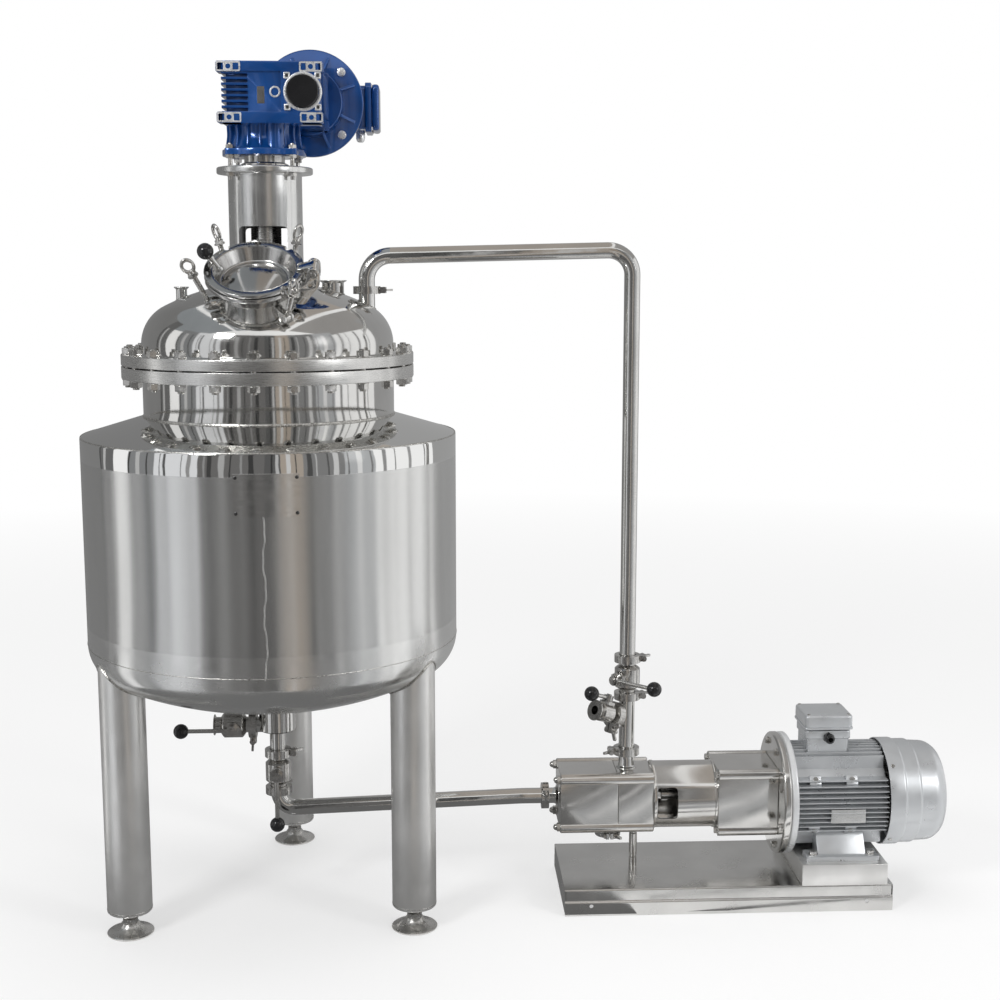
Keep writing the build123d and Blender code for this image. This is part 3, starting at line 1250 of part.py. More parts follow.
def swept_tube(points, bends, start_way, end_way):
    """A bent tube with a clamp ferrule at each end."""
    with BuildLine() as route:
        FilletPolyline(*points, radius=bends)
    for radius, mode in ((TUBE_R, Mode.ADD), (TUBE_IN, Mode.SUBTRACT)):
        with BuildSketch(Plane(points[0], z_dir=start_way)) as ring:
            Circle(radius)
        if mode == Mode.SUBTRACT:
            for seat in (Plane(points[0], z_dir=start_way * -1), Plane(points[-1], z_dir=end_way)):
                turn(seat, [(0, 0), (FERRULE_R, 0), (FERRULE_R, -FERRULE_RIM), (TUBE_R + 0.5, -FERRULE_T), (0, -FERRULE_T)])
        sweep(ring.sketch, path=route.wires()[0], mode=mode)


# Suction pipe: down from the bottom valve, round the elbow and along to the pump
with BuildPart() as suction_pipe:
    top_joint = BOTTOM_JOINT_Z - 2 * VALVE_HALF
    swept_tube(
        [
            Vector(TANK_X, 0, top_joint),
            Vector(TANK_X, 0, SUCTION_LOW_Z),
            Vector(TANK_X + PUMP_INLET_X - SUCTION_LEVEL_RUN, 0, PUMP_Z),
            Vector(TANK_X + PUMP_INLET_X, 0, PUMP_Z),
        ],
        [SUCTION_BEND, SUCTION_LEVEL_BEND],
        Vector(0, 0, -1),
        Vector(1, 0, 0),
    )
save(suction_pipe, "suction_pipe")

# Return pipe: up from the line valve, over and down to the lid
with BuildPart() as return_pipe:
    line_top = LINE_VALVE_Z + VALVE_HALF
    swept_tube(
        [
            Vector(TANK_X + RISER_X, 0, line_top),
            Vector(TANK_X + RISER_X, 0, RETURN_HIGH_Z),
            Vector(TANK_X + RETURN_X, 0, RETURN_LOW_Z),
            Vector(TANK_X + RETURN_X, 0, RETURN_JOINT_Z),
        ],
        [RETURN_BEND, RETURN_BEND],
        Vector(0, 0, 1),
        Vector(0, 0, -1),
    )
save(return_pipe, "return_pipe")

# Riser pipe: from the pump's outlet to the line valve, with the slanted branch
with BuildPart() as riser_pipe:
    riser_seat = Plane(origin=(TANK_X + RISER_X, 0, 0))
    line_low = LINE_VALVE_Z - VALVE_HALF
    upper = ferrule(line_low, 1, TUBE_R)
    lower = ferrule(PUMP_OUTLET_Z, -1, TUBE_R)
    turn(
        riser_seat,
        [(0, line_low)]
        + upper
        + [(TUBE_R, line_low - FERRULE_T), (TUBE_R, PUMP_OUTLET_Z + FERRULE_T)]
        + lower[::-1]
        + [(0, PUMP_OUTLET_Z)],
    )
    branch_base = Plane(branch_foot, x_dir=branch_up, z_dir=branch_way)
    face = ferrule(BRANCH_JOINT, 1, BRANCH_R, BRANCH_FERRULE_R)
    turn(branch_base, [(0, BRANCH_JOINT)] + face + [(BRANCH_R, BRANCH_JOINT - FERRULE_T), (BRANCH_R, 0), (0, 0)])
    rod(riser_seat, TUBE_IN, PUMP_OUTLET_Z, line_low, Mode.SUBTRACT)
    rod(branch_base, SMALL_BORE_R, 0, BRANCH_JOINT, Mode.SUBTRACT)
save(riser_pipe, "riser_pipe")


def clamp(seat, tube=TUBE_R):
    """A hinged pipe clamp round a joint: the pipe runs along the normal, the screw is at the x axis."""
    lip = tube + 1.5
    grip = FERRULE_R + GAP
    turn(
        seat,
        [
            (CLAMP_R, -CLAMP_HALF),
            (CLAMP_R, CLAMP_HALF),
            (lip, CLAMP_HALF),
            (lip, CLAMP_LIP + GAP),
            (grip, FERRULE_RIM + GAP),
            (grip, -FERRULE_RIM - GAP),
            (lip, -CLAMP_LIP - GAP),
            (lip, -CLAMP_HALF),
        ],
    )
    with BuildSketch(seat.offset(-0.8 * CLAMP_HALF)) as ear:
        with Locations(((CLAMP_R + EAR_REACH) / 2 - 2, 0)):
            RectangleRounded(EAR_REACH - CLAMP_R + 4, 20, 3)
    extrude(ear.sketch, amount=1.6 * CLAMP_HALF)
    with BuildSketch(seat.offset(-2 * CLAMP_HALF)) as split_line:
        with Locations((CLAMP_R, 0)):
            Rectangle(2 * (EAR_REACH - lip), 3)
    extrude(split_line.sketch, amount=4 * CLAMP_HALF, mode=Mode.SUBTRACT)
    screw = Plane(seat.origin + seat.x_dir * (EAR_REACH - 7), x_dir=seat.x_dir, z_dir=seat.y_dir)
    rod(screw, CLAMP_SCREW_R + GAP, -11, 11, Mode.SUBTRACT)
    rod(screw, CLAMP_SCREW_R, -14, 24)
    rod(screw, CLAMP_SCREW_R + 3, -14, -10.3)
    rod(screw, CLAMP_SCREW_R + 3.5, 10.3, 19)
    with BuildSketch(Plane(screw.origin, x_dir=screw.x_dir, z_dir=screw.y_dir * -1)) as wing:
        for side in (-1, 1):
            with BuildSketch(mode=Mode.PRIVATE) as blade:
                with Locations((side * 4, 14)):
                    Circle(4)
                with Locations((side * 17, 24)):
                    Circle(4.5)
                make_hull()
            add(blade.sketch)
    extrude(wing.sketch, amount=2.5, both=True)


def joint_seat(x, z, way, screw):
    """The seat of a clamp on the pipework's plane."""
    return Plane(origin=(TANK_X + x, 0, z), x_dir=screw, z_dir=way)


# Pipe clamps at every joint, each with its wing nut
with BuildPart() as pipe_clamps:
    clamp(joint_seat(RETURN_X, RETURN_JOINT_Z, (0, 0, 1), (1, 0, 0)))
    clamp(joint_seat(RISER_X, line_top, (0, 0, 1), (1, 0, 0)))
    clamp(joint_seat(RISER_X, line_low, (0, 0, 1), (1, 0, 0)))
    clamp(joint_seat(RISER_X, PUMP_OUTLET_Z, (0, 0, 1), (-1, 0, 0)))
    clamp(joint_seat(0, BOTTOM_JOINT_Z, (0, 0, 1), (1, 0, 0)))
    clamp(joint_seat(0, top_joint, (0, 0, -1), (0, 1, 0)))
    clamp(joint_seat(SIDE_JOINT_X, SIDE_Z, (-1, 0, 0), (0, 0, -1)))
    clamp(joint_seat(PUMP_INLET_X, PUMP_Z, (1, 0, 0), (0, -sqrt(0.5), sqrt(0.5))))
    clamp(joint_seat(DRAIN_X, PUMP_Z - PUMP_CASING_SIDE / 2 - 18, (0, 0, 1), (0, -1, 0)), DRAIN_R)
    clamp(Plane(branch_foot + branch_way * BRANCH_JOINT, x_dir=branch_up * -1, z_dir=branch_way), BRANCH_R)
save(pipe_clamps, "pipe_clamps")


def lobed_square(side, corner, lobe):
    """A rounded square with a round lobe for a tie bolt at each corner."""
    RectangleRounded(side, side, corner)
    with GridLocations(side - 1.5 * corner, side - 1.5 * corner, 2, 2):
        Circle(lobe)


# Pump casing: square head with tie-bolt lobes, inlet, outlet, drain and the impeller's chamber
with BuildPart() as pump_casing:
    with BuildSketch(pump.offset(PUMP_CASING_X)) as head:
        lobed_square(PUMP_CASING_SIDE, PUMP_CASING_CORNER, PUMP_LOBE_R)
    extrude(head.sketch, amount=PUMP_CASING_L)
    inlet_face = ferrule(PUMP_INLET_X, -1, TUBE_R)
    turn(
        pump,
        [(0, PUMP_INLET_X)]
        + inlet_face
        + [
            (TUBE_R, PUMP_INLET_X + FERRULE_T),
            (TUBE_R, PUMP_CASING_X - 6),
            (1.6 * TUBE_R, PUMP_CASING_X),
            (1.6 * TUBE_R, PUMP_CASING_X + 1),
            (0, PUMP_CASING_X + 1),
        ],
    )
    out_seat = Plane(origin=(TANK_X + RISER_X, 0, 0))
    out_face = ferrule(PUMP_OUTLET_Z, 1, TUBE_R)
    turn(out_seat, [(0, PUMP_OUTLET_Z)] + out_face + [(TUBE_R, PUMP_OUTLET_Z - FERRULE_T), (TUBE_R, PUMP_Z), (0, PUMP_Z)])
    drain_z = PUMP_Z - PUMP_CASING_SIDE / 2 - 18
    drain_seat = Plane(origin=(TANK_X + DRAIN_X, 0, 0))
    drain_face = ferrule(drain_z, 1, DRAIN_R)
    drain_back = ferrule(drain_z, -1, DRAIN_R)
    turn(
        drain_seat,
        [(0, drain_z - FERRULE_T)]
        + [(DRAIN_R, drain_z - FERRULE_T)]
        + drain_face[1:2]
        + drain_back[1:2]
        + [(DRAIN_R + 0.5, drain_z + FERRULE_T), (DRAIN_R, drain_z + FERRULE_T), (DRAIN_R, PUMP_Z), (0, PUMP_Z)],
    )
    chamber_x = RISER_X - TUBE_R - 12
    chamber_end = PUMP_CASING_X + PUMP_CASING_L - 20
    rod(pump, PUMP_CHAMBER_R, chamber_x, chamber_end, Mode.SUBTRACT)
    rod(pump, TUBE_IN, PUMP_INLET_X, chamber_x + 1, Mode.SUBTRACT)
    rod(out_seat, TUBE_IN, PUMP_Z, PUMP_OUTLET_Z, Mode.SUBTRACT)
    rod(pump, PUMP_SHAFT_R + RUN, chamber_x, PUMP_CASING_X + PUMP_CASING_L, Mode.SUBTRACT)
save(pump_casing, "pump_casing")

# Bearing frame: windowed tube between the head and the coupling shroud
with BuildPart() as bearing_frame:
    with BuildSketch(pump.offset(FRAME_X)):
        Circle(FRAME_R)
        Circle(FRAME_R - FRAME_WALL, mode=Mode.SUBTRACT)
    extrude(amount=FRAME_L)
    rod(pump, FRAME_R - 1, FRAME_X + FRAME_L - 40, FRAME_X + FRAME_L)
    rod(pump, PUMP_SHAFT_R + RUN, FRAME_X, FRAME_X + FRAME_L, Mode.SUBTRACT)
    window = Plane(
        origin=(TANK_X + FRAME_X + 8 + PUMP_WINDOW_L / 2, 0, PUMP_Z),
        x_dir=(1, 0, 0),
        z_dir=(0, -1, 0),
    )
    with BuildSketch(window):
        RectangleRounded(PUMP_WINDOW_L, PUMP_WINDOW_H, WINDOW_CORNER)
    extrude(amount=2 * FRAME_R, both=True, mode=Mode.SUBTRACT)
save(bearing_frame, "bearing_frame")

# Coupling shroud: rounded square housing over the motor coupling
with BuildPart() as coupling_shroud:
    with BuildSketch(pump.offset(COUPLING_X)) as shroud:
        lobed_square(COUPLING_SIDE, COUPLING_CORNER, PUMP_LOBE_R)
        Circle(COUPLING_BORE_R, mode=Mode.SUBTRACT)
    extrude(shroud.sketch, amount=COUPLING_L)
save(coupling_shroud, "coupling_shroud")

# Motor adapter: polished disc between the shroud and the motor's flange
with BuildPart() as motor_adapter:
    with BuildSketch(pump.offset(ADAPTER_X)):
        Circle(ADAPTER_R)
        Circle(COUPLING_BORE_R, mode=Mode.SUBTRACT)
    extrude(amount=ADAPTER_T)
    chamfer(motor_adapter.edges().filter_by(GeomType.CIRCLE).sort_by(SortBy.RADIUS)[-2:], 2)
save(motor_adapter, "motor_adapter")

# Pump motor: flange, finned body, feet and the pad for its terminal box
with BuildPart() as pump_motor:
    seat = pump.offset(MOTOR_X)
    rod(seat, ADAPTER_R, 0, MOTOR_FLANGE_T)
    finned_body(seat, MOTOR_CORE_R, MOTOR_FIN_R, MOTOR_BODY_L, FIN_PITCH, MOTOR_FLANGE_T)
    foot_centre = TANK_X + MOTOR_BODY_X + MOTOR_BODY_L / 2
    with BuildSketch(Plane(origin=(foot_centre, 0, BASE_TOP))) as soles:
        with GridLocations(0, MOTOR_FOOT_SPREAD, 1, 2):
            RectangleRounded(MOTOR_FOOT_L, 52, 8)
    extrude(soles.sketch, amount=MOTOR_FOOT_T)
    with BuildSketch(Plane(origin=(foot_centre, 0, BASE_TOP), x_dir=(0, 1, 0), z_dir=(1, 0, 0))) as web:
        for side in (-1, 1):
            with BuildLine():
                Polyline(
                    (side * (MOTOR_FOOT_SPREAD / 2 + 14), 0),
                    (side * (MOTOR_FOOT_SPREAD / 2 + 14), MOTOR_FOOT_T),
                    (side * 0.82 * MOTOR_CORE_R, 0.52 * MOTOR_SHAFT_H),
                    (side * 0.45 * MOTOR_CORE_R, 0.52 * MOTOR_SHAFT_H),
                    (side * 0.6 * MOTOR_CORE_R, 0),
                    close=True,
                )
            make_face()
    extrude(web.sketch, amount=0.36 * MOTOR_FOOT_L, both=True)
    with BuildSketch(Plane(origin=(foot_centre, 0, BASE_TOP))) as slots:
        with GridLocations(MOTOR_FOOT_L - 40, MOTOR_FOOT_SPREAD + 12, 2, 2):
            SlotOverall(20, 12)
    extrude(slots.sketch, amount=2 * MOTOR_FOOT_T, mode=Mode.SUBTRACT)
    with BuildSketch(Plane(origin=(foot_centre - 24, 0, PUMP_Z + MOTOR_CORE_R - 8))) as pad:
        Rectangle(BOX_L - 16, BOX_W - 16)
    extrude(pad.sketch, amount=MOTOR_FIN_R - MOTOR_CORE_R + 8)
    rotor_low = MOTOR_FLANGE_T + 30
    rotor_high = MOTOR_FLANGE_T + MOTOR_BODY_L - 24
    rod(seat, ROTOR_R + GAP, rotor_low - GAP, rotor_high + GAP, Mode.SUBTRACT)
    rod(seat, PUMP_SHAFT_R + RUN, 0, MOTOR_FLANGE_T + MOTOR_BODY_L, Mode.SUBTRACT)
save(pump_motor, "pump_motor")

with BuildPart() as pump_fan_cowl:
    cowl(pump.offset(COWL_X), MOTOR_COWL_R, MOTOR_COWL_L, 38)
save(pump_fan_cowl, "pump_fan_cowl")

# Terminal box on the motor's pad: tray, overhanging cover and a gland in front
with BuildPart() as pump_terminal_box:
    box_seat = Plane(origin=(foot_centre - 24, 0, PUMP_Z + MOTOR_FIN_R))
    with BuildSketch(box_seat):
        RectangleRounded(BOX_L - 12, BOX_W - 12, 8)
    with BuildSketch(box_seat.offset(0.6 * BOX_H)):
        RectangleRounded(BOX_L, BOX_W, 10)
    loft()
    with BuildSketch(box_seat.offset(0.6 * BOX_H)):
        RectangleRounded(BOX_L + 6, BOX_W + 6, 12)
    extrude(amount=0.4 * BOX_H)
    fillet(pump_terminal_box.faces().sort_by(Axis.Z)[-1].edges(), 7)
    gland = Plane(box_seat.origin + Vector(0, -0.45 * BOX_W, 0.32 * BOX_H), x_dir=(1, 0, 0), z_dir=(0, -1, 0))
    rod(gland, 13, 0, 26)
save(pump_terminal_box, "pump_terminal_box")

# Pump shaft: one shaft through the frame, with the motor's rotor and fan
with BuildPart() as pump_shaft:
    shaft_low = chamber_x + 34
    rod(pump, PUMP_SHAFT_R, shaft_low, COWL_X + 60)
    rod(pump.offset(MOTOR_X), ROTOR_R, rotor_low, rotor_high)
    rod(pump, 1.9 * PUMP_SHAFT_R, COUPLING_X + 20, COUPLING_X + 20 + 70)
    rod(pump, 30, COWL_X + 14, COWL_X + 44)
    with BuildSketch(pump.offset(COWL_X + 14)) as blades:
        with PolarLocations(0.55 * FAN_R, 8):
            Rectangle(0.9 * FAN_R, 4)
    extrude(blades.sketch, amount=28)
save(pump_shaft, "pump_shaft")

# Impeller: slotted high-shear rotor on the shaft's end
with BuildPart() as pump_impeller:
    low_x = chamber_x + 10
    rod(pump, IMPELLER_R, low_x + IMPELLER_T, low_x + IMPELLER_T + 8)
    with BuildSketch(pump.offset(low_x)) as teeth:
        for outer in (IMPELLER_R, 0.7 * IMPELLER_R):
            with BuildSketch(mode=Mode.PRIVATE) as ring:
                Circle(outer)
                Circle(outer - 6, mode=Mode.SUBTRACT)
                with PolarLocations(outer, 12):
                    Rectangle(20, 4, mode=Mode.SUBTRACT)
            add(ring.sketch)
    extrude(teeth.sketch, amount=IMPELLER_T)
    rod(pump, 1.5 * PUMP_SHAFT_R, low_x + 8, low_x + IMPELLER_T + 8)
    rod(pump, PUMP_SHAFT_R + SEAM, shaft_low - SEAM, low_x + IMPELLER_T + 8, Mode.SUBTRACT)
save(pump_impeller, "pump_impeller")

# Pump base: folded pan with the motor's riser welded on it
with BuildPart() as pump_base:
    centre_x = TANK_X + BASE_X + BASE_L / 2
    with BuildSketch(Plane(origin=(centre_x, 0, 0))):
        Rectangle(BASE_L, BASE_W)
        Rectangle(BASE_L - 2 * BASE_WALL, BASE_W - 2 * BASE_WALL, mode=Mode.SUBTRACT)
    extrude(amount=BASE_H)
    with BuildSketch(Plane(origin=(centre_x, 0, BASE_H - BASE_WALL))):
        Rectangle(BASE_L, BASE_W)
    extrude(amount=BASE_WALL)
    block_x = foot_centre
    with BuildSketch(Plane(origin=(block_x, 0, BASE_H))):
        Rectangle(RISER_BLOCK_L, BASE_W)
    extrude(amount=BASE_TOP - BASE_H)
    with BuildSketch(Plane(origin=(centre_x, 0, BASE_HOLE_Z), x_dir=(1, 0, 0), z_dir=(0, -1, 0))):
        with GridLocations(BASE_L - 2 * BASE_HOLE_INSET, 0, 2, 1):
            Circle(BASE_HOLE_R)
    extrude(amount=BASE_W, both=True, mode=Mode.SUBTRACT)
save(pump_base, "pump_base")

# Head support: screwed post under the casing
with BuildPart() as head_support:
    casing_low = PUMP_Z - PUMP_CASING_SIDE / 2
    turn(
        Plane(origin=(TANK_X + SUPPORT_X, 0, 0)),
        [
            (0, BASE_H),
            (SUPPORT_R, BASE_H),
            (SUPPORT_R, BASE_H + 22),
            (0.8 * SUPPORT_R, BASE_H + 23),
            (0.8 * SUPPORT_R, BASE_H + 28),
            (SUPPORT_R, BASE_H + 29),
            (SUPPORT_R, casing_low - 26),
            (0.65 * SUPPORT_R, casing_low - 24),
            (0.65 * SUPPORT_R, casing_low),
            (0, casing_low),
        ],
    )
save(head_support, "head_support")
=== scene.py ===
import math

import bpy
from mathutils import Matrix, Vector


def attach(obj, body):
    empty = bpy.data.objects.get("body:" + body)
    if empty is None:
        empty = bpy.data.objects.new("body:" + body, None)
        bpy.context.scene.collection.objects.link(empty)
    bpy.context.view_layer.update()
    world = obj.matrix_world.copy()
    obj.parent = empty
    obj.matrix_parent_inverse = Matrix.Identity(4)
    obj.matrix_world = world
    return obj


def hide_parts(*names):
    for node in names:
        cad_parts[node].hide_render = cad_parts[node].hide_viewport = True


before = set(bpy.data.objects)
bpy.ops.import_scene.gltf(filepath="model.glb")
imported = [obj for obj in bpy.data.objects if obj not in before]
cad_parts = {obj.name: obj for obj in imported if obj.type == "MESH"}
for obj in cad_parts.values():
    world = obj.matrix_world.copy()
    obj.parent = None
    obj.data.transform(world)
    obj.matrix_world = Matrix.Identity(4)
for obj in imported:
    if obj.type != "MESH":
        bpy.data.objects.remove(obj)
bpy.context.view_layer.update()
MM = 0.001
TANK = Vector((-0.6025, 0.0, 0.0))


# The photograph's view: a long lens a little above the lid, square to the row and tilted down.
# The picture is square, so the lens and the frame's width give the whole framing.
def rest_selection():
    """Leave edit mode and deselect everything."""
    if bpy.context.object and bpy.context.object.mode != "OBJECT":
        bpy.ops.object.mode_set(mode="OBJECT")
    bpy.ops.object.select_all(action="DESELECT")


VIEW_FROM = TANK + Vector((0.377, -3.572, 1.53))
VIEW_DOWN = 8.53
VIEW_RIGHT = math.degrees(math.atan2(0.0471, 0.9989))
rest_selection()
bpy.ops.object.camera_add(location=VIEW_FROM)
viewer = bpy.context.object
viewer.name = "viewer"
viewer.data.lens = 54
viewer.data.sensor_width = 36
viewer.rotation_euler = (math.radians(90 - VIEW_DOWN), 0, -math.radians(VIEW_RIGHT))
bpy.context.scene.camera = viewer


# Shader sums: one shader value that ordinary arithmetic works on, and the builder of a finish.
# Every finish in the file is made with them.
class Link:
    """A node's output that can be added, multiplied and taken from."""

    def __init__(self, finish, socket):
        self.finish = finish
        self.socket = socket

    def sum(self, operation, other, swap=False):
        pair = (other, self) if swap else (self, other)
        return self.finish.node("ShaderNodeMath", {"operation": operation}, *pair)

    def __add__(self, other):
        return self.sum("ADD", other)

    def __radd__(self, other):
        return self.sum("ADD", other)

    def __sub__(self, other):
        return self.sum("SUBTRACT", other)

    def __rsub__(self, other):
        return self.sum("SUBTRACT", other, swap=True)

    def __mul__(self, other):
        return self.sum("MULTIPLY", other)

    def __rmul__(self, other):
        return self.sum("MULTIPLY", other)

    def __truediv__(self, other):
        return self.sum("DIVIDE", other)

    def over(self, other):
        return self.sum("GREATER_THAN", other)


class Finish:
    """A material in the making, with its main shader at hand."""

    def __init__(self, name, colour, rough, metal=0.0, coat=0.0):
        self.material = bpy.data.materials.new(name)
        self.material.use_nodes = True
        self.tree = self.material.node_tree
        self.shader = self.tree.nodes["Principled BSDF"]
        self.plug(self.shader.inputs["Base Color"], (*colour, 1))
        self.plug(self.shader.inputs["Roughness"], rough)
        self.plug(self.shader.inputs["Metallic"], metal)
        self.plug(self.shader.inputs["Coat Weight"], coat)
        self.material.diffuse_color = (*colour, 1)

    def plug(self, socket, value):
        if isinstance(value, Link):
            self.tree.links.new(value.socket, socket)
        else:
            socket.default_value = value

    def node(self, kind, settings=None, *values, out=0, **named):
        made = self.tree.nodes.new(kind)
        for key, value in (settings or {}).items():
            if key == "stops":
                for index, (place, shade) in enumerate(value):
                    stops = made.color_ramp.elements
                    stop = stops[index] if index < 2 else stops.new(place)
                    stop.position = place
                    stop.color = shade
            else:
                setattr(made, key, value)
        for slot, value in list(enumerate(values)) + list(named.items()):
            self.plug(made.inputs[slot], value)
        return Link(self, made.outputs[out])

    def place(self, stretch=(1, 1, 1)):
        """Object coordinates, stretched along the axes."""
        here = self.node("ShaderNodeTexCoord", out=3)
        return self.node("ShaderNodeMapping", None, here, Scale=stretch)

    def noise(self, scale, detail=3.0, stretch=(1, 1, 1)):
        return self.node("ShaderNodeTexNoise", None, self.place(stretch), Scale=scale, Detail=detail)

    def height(self):
        """How high a point is, in metres."""
        apart = self.tree.nodes.new("ShaderNodeSeparateXYZ")
        self.tree.links.new(self.place().socket, apart.inputs[0])
        return Link(self, apart.outputs[2])

    def reach(self):
        """How far a point is from the tank's axis, in metres."""
        return self.node("ShaderNodeVectorMath", {"operation": "DISTANCE"}, self.place((1, 1, 0)),
                         tuple(TANK), out=1)

    def spread(self, low, high, value):
        """Bring a value from 0.3..0.7, where noise lives, to low..high."""
        return self.node(
            "ShaderNodeMapRange", None, value, **{"From Min": 0.3, "From Max": 0.7, "To Min": low,
                                                  "To Max": high}
        )

    def blend(self, mask, first, second):
        """Mix two colours, or a colour with a socket."""
        made = self.tree.nodes.new("ShaderNodeMix")
        made.data_type = "RGBA"
        self.plug(made.inputs[0], mask)
        self.plug(made.inputs[6], first if isinstance(first, Link) else (*first, 1))
        self.plug(made.inputs[7], second if isinstance(second, Link) else (*second, 1))
        return Link(self, made.outputs[2])

    def bump(self, value, strength, depth):
        made = self.node("ShaderNodeBump", None, Height=value, Strength=strength, Distance=depth)
        self.plug(self.shader.inputs["Normal"], made)

    def colour(self, value):
        self.plug(self.shader.inputs["Base Color"], value)

    def rough(self, value):
        self.plug(self.shader.inputs["Roughness"], value)

    def mottle(self, grain, dark, light):
        """Let the colour wander between two, with a noise of this scale and detail."""
        self.colour(self.blend(self.spread(0, 1, self.noise(*grain)), dark, light))

    def haze(self, grain, low, high):
        """Let the roughness wander between two values."""
        self.rough(self.spread(low, high, self.noise(*grain)))


# Studio: a pale floor, a white surround, soft lamps, and grey cards that only reflections see.
# The cards stand where the room's dark walls were, and give the polished steel its upright bands.
world = bpy.data.worlds.new("surround")
bpy.context.scene.world = world
world.use_nodes = True
sky = world.node_tree
ray = sky.nodes.new("ShaderNodeLightPath")
seen = sky.nodes.new("ShaderNodeMath")
seen.operation = "MAXIMUM"
sky.links.new(ray.outputs["Is Camera Ray"], seen.inputs[0])
either = sky.nodes.new("ShaderNodeMath")
either.operation = "MAXIMUM"
sky.links.new(ray.outputs["Is Glossy Ray"], either.inputs[0])
sky.links.new(ray.outputs["Is Transmission Ray"], either.inputs[1])
sky.links.new(either.outputs[0], seen.inputs[1])
level = sky.nodes.new("ShaderNodeMapRange")
level.inputs["To Min"].default_value = 0.55
level.inputs["To Max"].default_value = 1.0
sky.links.new(seen.outputs[0], level.inputs[0])
sky.links.new(level.outputs[0], sky.nodes["Background"].inputs["Strength"])
sky.nodes["Background"].inputs["Color"].default_value = (1, 1, 1, 1)

rest_selection()
bpy.ops.mesh.primitive_plane_add(size=60)
floor = bpy.context.object
floor.name = "floor"
pale = Finish("floor_white", (0.95, 0.95, 0.95), 0.9)
pale.plug(pale.shader.inputs["Specular IOR Level"], 0.0)
paths = pale.tree.nodes.new("ShaderNodeLightPath")
direct = Link(pale, paths.outputs["Is Camera Ray"])
mirrored = Link(pale, paths.outputs["Is Glossy Ray"])
through = Link(pale, paths.outputs["Is Transmission Ray"])
glow = pale.tree.nodes.new("ShaderNodeEmission")
pale.plug(glow.inputs["Strength"], 1.0)
half = pale.tree.nodes.new("ShaderNodeMixShader")
apart = pale.node("ShaderNodeVectorMath", {"operation": "LENGTH"}, pale.place(), out=1)
fade = pale.node("ShaderNodeMapRange", None, apart, **{"From Min": 1.2, "From Max": 7.0, "To Min": 0.5,
                                                       "To Max": 1.0})
pale.plug(half.inputs[0], direct.sum("MAXIMUM", mirrored.sum("MAXIMUM", through)) * fade)
pale.tree.links.new(pale.shader.outputs[0], half.inputs[1])
pale.tree.links.new(glow.outputs[0], half.inputs[2])
pale.tree.links.new(half.outputs[0], pale.tree.nodes["Material Output"].inputs["Surface"])
floor.data.materials.append(pale.material)


def lamp(name, place, aim, size, power):
    """A square soft lamp that faces a point."""
    rest_selection()
    bpy.ops.object.light_add(type="AREA", location=place)
    made = bpy.context.object
    made.name = name
    made.data.shape = "RECTANGLE"
    made.data.size, made.data.size_y = size
    made.data.energy = power
    made.rotation_euler = (Vector(aim) - Vector(place)).to_track_quat("-Z", "Y").to_euler()


lamp("key_lamp", (-3.2, -3.6, 3.6), (-0.3, 0, 1.0), (1.2, 1.2), 95)
lamp("fill_lamp", (3.6, -3.0, 2.6), (0.3, 0, 0.8), (1.0, 1.4), 60)
lamp("top_lamp", (0.2, 0.4, 5.0), (0, 0, 0), (3.5, 2.5), 60)
bpy.context.object.visible_glossy = False


def hang(name, tone):
    """Name the plane in hand, give it an even tone and let only reflections see it."""
    made = bpy.context.object
    made.name = name
    flat = Finish(name + "_grey", (0, 0, 0), 1.0)
    flat.plug(flat.shader.inputs["Specular IOR Level"], 0.0)
    flat.plug(flat.shader.inputs["Emission Color"], (*tone, 1))
    flat.plug(flat.shader.inputs["Emission Strength"], 1.0)
    made.data.materials.append(flat.material)
    made.visible_camera = made.visible_diffuse = False
    made.visible_shadow = made.visible_transmission = False


def card(name, start, end, near, high, tone, far=4.6, lift=0.004):
    """A card on the ground and up round the tank between two azimuths."""
    rest_selection()
    way = Vector((math.cos(math.radians(start)), math.sin(math.radians(start)), 0))
    bpy.ops.mesh.primitive_plane_add(size=MM)
    bpy.ops.object.mode_set(mode="EDIT")
    bpy.ops.mesh.merge(type="CENTER")
    bpy.ops.transform.translate(value=way * near + Vector((0, 0, lift)))
    bpy.ops.mesh.extrude_region_move(TRANSFORM_OT_translate={"value": way * (far - near)})
    bpy.ops.mesh.extrude_region_move(TRANSFORM_OT_translate={"value": (0, 0, high)})
    bpy.ops.mesh.select_all(action="SELECT")
    bpy.ops.mesh.spin(steps=16, angle=math.radians(end - start), center=(0, 0, 0), axis=(0, 0, -1))
    bpy.ops.object.mode_set(mode="OBJECT")
    bpy.context.object.location = TANK
    hang(name, tone)


CARDS = {
    "card_right_back": (387, 456, 0.9, 5.0, (0.36, 0.36, 0.36)),
    "card_behind": (96, 160, 0.9, 5.0, (0.22, 0.22, 0.22)),
    "card_left_back": (160, 174.6, 0.9, 5.0, (0.15, 0.15, 0.15)),
    "card_left": (187, 206.6, 0.9, 4.2, (0.24, 0.245, 0.25)),
    "card_left_pale": (206.6, 234, 0.9, 4.2, (0.76, 0.77, 0.79)),
    "card_front_left": (234, 271.8, 0.9, 4.2, (0.155, 0.152, 0.15)),
    "card_front": (271.8, 281, 0.9, 4.2, (0.11, 0.11, 0.11)),
    "card_front_warm": (281, 293.6, 0.9, 4.2, (0.40, 0.35, 0.30)),
    "card_front_right": (293.6, 318, 0.9, 4.2, (0.22, 0.22, 0.22)),
    "card_right": (318, 337.4, 0.9, 4.2, (0.46, 0.47, 0.48)),
    "card_under": (0, 360, 0.02, 0.001, (0.16, 0.16, 0.16), 0.9),
}
for name, values in CARDS.items():
    card(name, *values)
